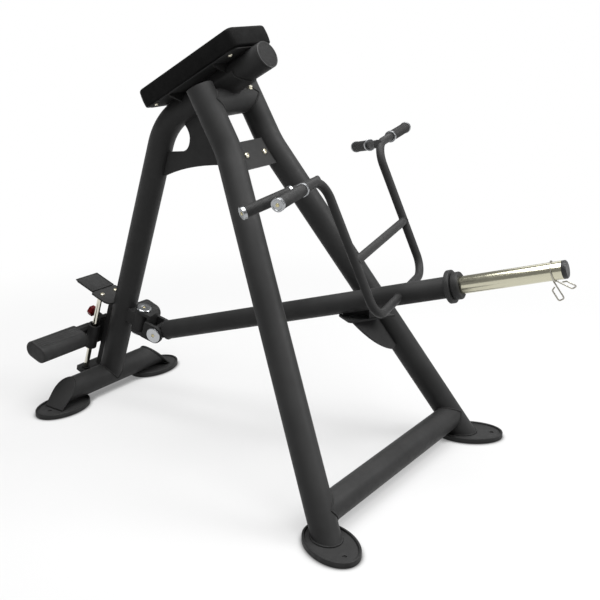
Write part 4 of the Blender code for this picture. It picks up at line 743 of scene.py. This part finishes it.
# Pull pin: a spring-loaded steel pin in a short housing, with a lobed knob of dark red moulded polyamide.
red = uneven_material("red_polyamide", 1.53, 0.28, ("7A0A0E", "8C0E12"), 80.0, (0.28, 0.4), 200.0,
                      (1200.0,), 0.0001, 0.2)
PIN_HEIGHT, KNOB, KNOB_LENGTH, KNOB_LOBES, KNOB_HOLLOW = 0.1725, 0.018, 0.018, 6, 0.0018
knob_low = 0.014 / 2 + GAP + 0.030 + 0.009
pin = at(spine, (0, -ROD_FORWARD, PIN_HEIGHT), (90, 0, 0))
dress(chrome, "lock_pin")
rows = []
a = np.arange(96) * 2 * np.pi / 96
for radius, height in eased([(0.006, 0), (KNOB - 0.0005, 0), (KNOB, KNOB_LENGTH), (0.013, KNOB_LENGTH),
                             (0.005, KNOB_LENGTH - 0.0015)], 0.003):
    radii = radius - KNOB_HOLLOW * min(1.0, radius / KNOB) * (1 - np.cos(KNOB_LOBES * a)) / 2
    rows.append((np.stack([radii * np.cos(a), radii * np.sin(a)], -1), knob_low + height))
skin("pull_knob_piece", stacked(rows), pin, red, "pull_pin", "red_plastic", ("pull_knob",))


# Two-way joint: a bearing housing on the spine, a forged yoke on an upright pin and the arm's head on a
# level pin. Both pins end in polished caps with a broken rim and a small hexagon socket screw.
SWING_PLACE, SWING_PARKED = (0, 0.077, 0.2607), 11.3
LIFT_PLACE, LIFT_PARKED = (0, 0.073, -0.0062), 35.2
SWING_PIN_LENGTH, LIFT_PIN_LENGTH, SHANK = 0.084, 0.074, 0.010
CAP, CAP_THICKNESS = 0.0245, 0.005
swing = at(spine, SWING_PLACE, (0, 0, SWING_PARKED))
lift = at(swing, LIFT_PLACE, (LIFT_PARKED, 0, 0))
dress(coat, "joint_lug", "joint_yoke", "arm_head", edge=0.001)
polished = plated_material("polished_steel", "B2B4B6", 0.10, 0.06, 30.0)
brass = plated_material("yellow_zinc_plated_steel", "CCC29A", 0.25, 0.1, 200.0)
cap_profile = [(SHANK, 0.0002), (CAP, 0.0002), (CAP, CAP_THICKNESS - 0.0018), (CAP - 0.0022, CAP_THICKNESS),
               (0.0062, CAP_THICKNESS), (0.0058, CAP_THICKNESS - 0.0006), (0.004, CAP_THICKNESS - 0.0006)]
for name, parent, half, turns, body in (
        ("swing_pin", swing, SWING_PIN_LENGTH / 2 + GAP, ((0, 0, 0), (180, 0, 0)), "yoke"),
        ("lift_pin", lift, LIFT_PIN_LENGTH / 2 + GAP, ((0, 90, 0), (0, -90, 0)), "arm")):
    dress(polished, name)
    for number, turn in enumerate(turns):
        place = at(at(parent, (0, 0, 0), turn), (0, 0, half))
        lathe("%s_cap_%d" % (name, number), cap_profile, 0.0003, place, polished, body, "milled_aluminium",
              (name,) if number == 0 else (), 96, 3, sharp=25)
        screw("%s_screw_%d" % (name, number), at(place, (0, 0, CAP_THICKNESS - 0.0007)), 0.0050, 0.0016, body,
              finish=brass)
    lathe(name + "_shank", band(0.004, SHANK, -half, half), 0.0005, at(parent, (0, 0, 0), turns[0]), polished,
          body, "milled_aluminium", sides=32)


# Lever arm: a 60 mm tube from the joint's head to the flange that stops the plates. A rubber bumper lies on
# the flange, and beyond it the plated sleeve carries the plates, with a push-in end plug.
ARM, ARM_START, ARM_END = 0.030, 0.031, 0.986
FLANGE, FLANGE_THICKNESS = 0.046, 0.014
BUMPER, BUMPER_THICKNESS = 0.038, 0.0227
SLEEVE, SLEEVE_LENGTH = 0.0244, 0.2752
tube_line = np.linspace((0, ARM_START, 0), (0, ARM_END - GAP, 0), 24)
coated("arm_tube_piece", pipe(tube_line, ARM), lift, "arm_tube", body="arm")
on_head = plane_cut((0, ARM_START + 0.0002, 0), (0, 1, 0))
bead("weld_arm_head", meeting((0, ARM_START, 0), (0, 1, 0), ARM * 0.985, on_head), lift, "arm", 0.0022)


def arm_ring(node, profile, edge, start, finish, slot):
    """A turned piece on the arm's axis, in place of a node."""
    place = at(lift, (0, start, 0), (-90, 0, 0))
    lathe(node + "_piece", profile, edge, place, finish, "arm", slot, (node,), 96)


flange_black = rubber_material("grained_nylon", ("1C1C1C", "262626"), (0.5, 0.62), 450.0)
nickel = plated_material("nickel_plated_steel", "C6C3AE", 0.17, 0.07, 30.0)
bumper_low = ARM_END + FLANGE_THICKNESS + GAP
sleeve_low = bumper_low + BUMPER_THICKNESS + GAP
sleeve_high = sleeve_low + SLEEVE_LENGTH
arm_ring("arm_flange", band(ARM, FLANGE, 0, FLANGE_THICKNESS), 0.0018, ARM_END, flange_black, "powder_coat")
arm_ring("sleeve_bumper", band(0.020, BUMPER, 0, BUMPER_THICKNESS), 0.005, bumper_low, rubber,
         "moulded_rubber")
arm_ring("plate_sleeve", band(0.018, SLEEVE, 0, SLEEVE_LENGTH), 0.0008, sleeve_low, nickel, "nickel_plate")
arm_ring("sleeve_plug", [(0.015, GAP), (SLEEVE, GAP), (SLEEVE, 0.0085), (SLEEVE - 0.003, 0.0115),
                         (0.015, 0.0115)], 0.0008, sleeve_high, plug_black, "black_plastic")


# Spring clip: a turn of hard wire round the sleeve, with a loop at each end to squeeze.
WIRE, CLIP_PITCH, CLIP_FROM_END = 0.0020, 0.0075, 0.0275
clip = at(lift, (0, sleeve_high - CLIP_FROM_END, 0), (90, 0, 180))
wire_zinc = plated_material("zinc_plated_spring_wire", "A9A69C", 0.28, 0.1, 150.0)


def wire_loop(root, heading, side_sign):
    """A flat loop of wire, out along its heading and back beside itself, with its corners rounded."""
    heading = np.array(heading) / np.linalg.norm(heading)
    side = np.array((0, 0, 1.0)) - heading * heading[2]
    side = side / np.linalg.norm(side) * side_sign
    plan = ((0.010, 0), (0.053, 0), (0.053, 0.016), (0.020, 0.016), (0.015, 0.006))
    return rounded([np.array(root) + heading * reach + side * shift for reach, shift in plan],
                   [0.005, 0.005, 0.004], 6)


turn_radius = SLEEVE + WIRE + 0.0005
share = np.linspace(0, 1, 49)
a = share * 2 * np.pi - np.pi / 2
coil = np.stack([turn_radius * np.cos(a), turn_radius * np.sin(a), CLIP_PITCH * (share - 0.5)], -1)
wire_path = np.vstack([wire_loop(coil[0], (0, -0.94, 0.33), -1)[::-1], coil,
                       wire_loop(coil[-1], (0.49, -0.68, 0.56), 1)])
skin("spring_clip_piece", pipe(wire_path, WIRE, 16), clip, wire_zinc, "clip", "zinc_wire", ("spring_clip",),
     sharp=80)


# Handle frame: a 24 mm tube bent into a wide U across the arm, with a cross bar. Each top end turns
# outward as the wide grip, and a short tube welded beside it carries the near grip.
HANDLES_ALONG, HANDLES_TILT = 0.8449, 5.7
HANDLE, HALF, TALL = 0.0121, 0.195, 0.397
TOP_BEND, LOW_BEND = 0.060, 0.055
BAR_UP, BAR_START = 0.163, 0.1
WIDE_REACH, NEAR_REACH, NEAR_OUT, NEAR_ANGLE = 0.265, 0.2245, 0.020, 49
GRIP, GRIP_LENGTH, GRIP_RIBS, GRIP_RIB_DEPTH = 0.0155, 0.127, 34, 0.0005
GRIP_CAP, GRIP_CAP_LENGTH, GRIP_CAP_SUNK = 0.017, 0.010, 0.0012
handles = at(lift, (0, HANDLES_ALONG, 0), (HANDLES_TILT, 0, 0))
wide_end = HALF + WIDE_REACH - GRIP_CAP_LENGTH - GAP
u_line = rounded([(-wide_end, 0, TALL), (-HALF, 0, TALL), (-HALF, 0, 0), (HALF, 0, 0), (HALF, 0, TALL),
                  (wide_end, 0, TALL)], [TOP_BEND, LOW_BEND, LOW_BEND, TOP_BEND], 20)
coated("handle_frame_piece", pipe(u_line, HANDLE, 40), handles, "handle_frame", body="arm")
bar_cuts = {side: tube_cut((side * HALF, 0, 0), (0, 0, 1), HANDLE) for _, side in SIDES}
bar_line = [(-BAR_START, 0, BAR_UP), (0, 0, BAR_UP), (BAR_START, 0, BAR_UP)]
coated("handle_cross_bar", pipe(bar_line, HANDLE, 40, start_cut=bar_cuts[-1], end_cut=bar_cuts[1]), handles,
       body="arm")
for word, side in SIDES:
    ring = meeting((side * BAR_START, 0, BAR_UP), (side, 0, 0), HANDLE, bar_cuts[side])
    bead("weld_cross_bar_" + word, ring, handles, "arm", 0.0018)

# Soft grip sleeves of matt black thermoplastic rubber, with turned aluminium rings and caps.
grip_black = rubber_material("grip_rubber", ("161616", "1E1E1E"), (0.55, 0.7), 900.0)
aluminium = plated_material("turned_aluminium", "A4A6A8", 0.24, 0.1, 120.0)


def grip(name, place):
    """A ribbed grip, the aluminium ring at its root and the aluminium cap with its screw. Z points out."""
    end = -GRIP_CAP_LENGTH - GAP
    start = end - GRIP_LENGTH
    z = np.linspace(start + 0.003, end - 0.002, GRIP_RIBS * 8 + 1)
    wave = 0.5 + 0.5 * np.cos(2 * np.pi * (z - z[0]) / (z[-1] - z[0]) * GRIP_RIBS)
    bore = HANDLE + GAP
    profile = np.vstack([[(bore, start), (GRIP - 0.0006, start), (GRIP - 0.0001, start + 0.0006),
                          (GRIP, start + 0.0015)], np.stack([GRIP - GRIP_RIB_DEPTH * wave, z], -1),
                         [(GRIP, end - 0.001), (GRIP - 0.0006, end), (bore, end)]])
    skin(name + "_piece", turned(profile), place, grip_black, "arm", "moulded_rubber", (name,), ends="ring",
         sharp=60)
    lathe(name + "_ring", band(bore, GRIP + 0.0019, start - 0.0082, start - 0.0002), 0.0008, place, aluminium,
          "arm", "milled_aluminium", ends="ring")
    lathe(name + "_cap_piece", [(0.008, -GRIP_CAP_LENGTH), (GRIP_CAP, -GRIP_CAP_LENGTH),
                                (GRIP_CAP, -GRIP_CAP_SUNK), (GRIP_CAP - 0.0012, 0), (GRIP_CAP - 0.0045, 0),
                                (GRIP_CAP - 0.0055, -GRIP_CAP_SUNK), (0.004, -GRIP_CAP_SUNK)],
          0.0003, place, aluminium, "arm", "milled_aluminium", (name + "_cap",), steps=3, sharp=25)
    screw(name + "_screw", at(place, (0, 0, -GRIP_CAP_SUNK)), 0.0048, 0.0022, "arm", finish=brass)


near_angle = math.radians(NEAR_ANGLE)
on_bar = tube_cut((0, 0, TALL), (1, 0, 0), HANDLE)
for word, side in SIDES:
    out = Vector((side * math.sin(near_angle), -math.cos(near_angle), 0))
    root = Vector((side * (HALF + NEAR_OUT), 0, TALL))
    stub_end = root + out * (NEAR_REACH - GRIP_CAP_LENGTH - GAP)
    coated("near_stub_" + word, pipe([root, stub_end], HANDLE - 0.0002, 40), handles, body="arm")
    ring = meeting(root + out * 0.05, -out, HANDLE * 0.97, on_bar)
    bead("weld_near_stub_" + word, ring, handles, "arm", 0.0010)
    turn = (90, 0, math.degrees(math.atan2(out.x, -out.y)))
    grip("near_grip_" + word, at(handles, root + out * NEAR_REACH, turn))
    grip("wide_grip_" + word, at(handles, (side * (HALF + WIDE_REACH), 0, TALL), (90, 0, side * 90)))
arm_heading = (handles.inverted() @ lift).to_3x3() @ Vector((0, 1, 0))
on_arm = tube_cut((0, 0, 0), arm_heading, ARM)
for word, side in SIDES:
    ring = meeting((side * 0.08, 0, 0), (-side, 0, 0), HANDLE, on_arm)
    bead("weld_handle_arm_" + word, ring, handles, "arm", 0.002)


# Rest bracket on the left leg: a steel shelf with a hole, a leaf-shaped blade under it and a stepped
# rubber block, on which the parked arm lies.
dress(coat, "rest_plate", "rest_blade", edge=0.0006)
dress(rubber, "rest_rubber", edge=0.0015)


# Floor, soft studio light and the camera, at the place from which the photograph was taken.
def floor_material():
    """White paper sweep: matt, a little self-lit so that it is white to the camera, and evenly white away
    from the machine. Close under a foot it carries a painted shadow, from occlusion that leans away from the
    camera. It throws less light back up than it shows."""
    made, tree, shader = start_material("white_paper")
    out = tree.nodes["Material Output"]
    tree.nodes.remove(shader)
    lit = put(tree, "ShaderNodeBsdfDiffuse", {"Color": (0.33, 0.33, 0.33, 1.0)})
    glow = put(tree, "ShaderNodeEmission", {"Strength": 0.505})
    near = put(tree, "ShaderNodeAddShader", links={0: lit.outputs[0], 1: glow.outputs[0]})
    # Painted shadow: occlusion that leans away from the camera shades the floor close under the feet.
    hidden = put(tree, "ShaderNodeAmbientOcclusion", {"Distance": 0.030, "Normal": (-0.70, -0.53, 0.48)},
                 samples=16)
    painted_shadow_share = put(tree, "ShaderNodeMapRange", {"From Min": 0.42, "From Max": 0.9},
                  {"Value": hidden.outputs["AO"]}, interpolation_type="SMOOTHSTEP").outputs["Result"]
    dark = put(tree, "ShaderNodeEmission", {"Strength": 0.24})
    floor_with_painted_shadow = put(tree, "ShaderNodeMixShader", links={0: painted_shadow_share, 1: dark.outputs[0], 2: near.outputs[0]})
    place = put(tree, "ShaderNodeTexCoord").outputs["Object"]
    reach = put(tree, "ShaderNodeVectorMath", links={0: place}, operation="LENGTH").outputs["Value"]
    fade = put(tree, "ShaderNodeMapRange", {"From Min": 1.0, "From Max": 2.2}, {"Value": reach},
               interpolation_type="SMOOTHSTEP").outputs["Result"]
    white = put(tree, "ShaderNodeEmission", {"Strength": 1.0})
    seen = put(tree, "ShaderNodeMixShader", links={0: fade, 1: floor_with_painted_shadow.outputs[0], 2: white.outputs[0]})
    dim = put(tree, "ShaderNodeBsdfDiffuse", {"Color": (0.07, 0.07, 0.07, 1.0)})
    ray = put(tree, "ShaderNodeLightPath").outputs["Is Diffuse Ray"]
    both = put(tree, "ShaderNodeMixShader", links={0: ray, 1: seen.outputs[0], 2: dim.outputs[0]})
    tree.links.new(both.outputs[0], out.inputs["Surface"])
    return made


FLOOR = 30
floor_mesh = bpy.data.meshes.new("floor")
floor_mesh.from_pydata([(-FLOOR, -FLOOR, 0), (FLOOR, -FLOOR, 0), (FLOOR, FLOOR, 0), (-FLOOR, FLOOR, 0)], [],
                       [(0, 1, 2, 3)])
floor_mesh.materials.append(floor_material())
floor = bpy.data.objects.new("floor", floor_mesh)
bpy.context.collection.objects.link(floor)

# The world is white to the camera and a soft fill for everything else.
world = bpy.data.worlds.new("studio")
bpy.context.scene.world = world
world.use_nodes = True
sky = world.node_tree
background = sky.nodes["Background"]
background.inputs["Color"].default_value = (1, 1, 1, 1)
seen = put(sky, "ShaderNodeLightPath").outputs["Is Camera Ray"]
strength = put(sky, "ShaderNodeMapRange", {"To Min": 0.29}, {"Value": seen})
sky.links.new(strength.outputs["Result"], background.inputs["Strength"])

# Three large square soft boxes, which face the middle of the machine.
for name, place, target, size, power in (("left_box", (-3.0, -0.8, 2.6), (0, 0, 0.4), 1.6, 12),
                                         ("top_box", (0.3, 0.2, 3.6), (0, 0, 0.3), 3.0, 160),
                                         ("right_box", (-1.8, 2.9, 3.0), (0, 0, 0.6), 2.0, 98)):
    soft_box = bpy.data.lights.new(name, "AREA")
    soft_box.shape = "SQUARE"
    soft_box.size = size
    soft_box.energy = power
    lamp = bpy.data.objects.new(name, soft_box)
    lamp.location = place
    lamp.rotation_mode = "QUATERNION"
    lamp.rotation_quaternion = (Vector(target) - Vector(place)).to_track_quat("-Z", "Y")
    bpy.context.collection.objects.link(lamp)

CAMERA_PLACE, CAMERA_LENS = (2.1888, 1.6011, 1.3360), 58.87
scene = bpy.context.scene
scene.view_settings.view_transform = "Standard"
lens = bpy.data.cameras.new("camera")
lens.lens = CAMERA_LENS
lens.sensor_width = 36
lens.clip_end = 100
camera = bpy.data.objects.new("camera", lens)
ahead = Vector((-0.7763, -0.5455, -0.3159)).normalized()
up = Vector((-0.2552, -0.1863, 0.9488))
right = ahead.cross(up).normalized()
up = right.cross(ahead)
aim = Matrix((right, up, -ahead)).transposed().to_4x4()
camera.matrix_world = Matrix.Translation(CAMERA_PLACE) @ aim
bpy.context.collection.objects.link(camera)
scene.camera = camera
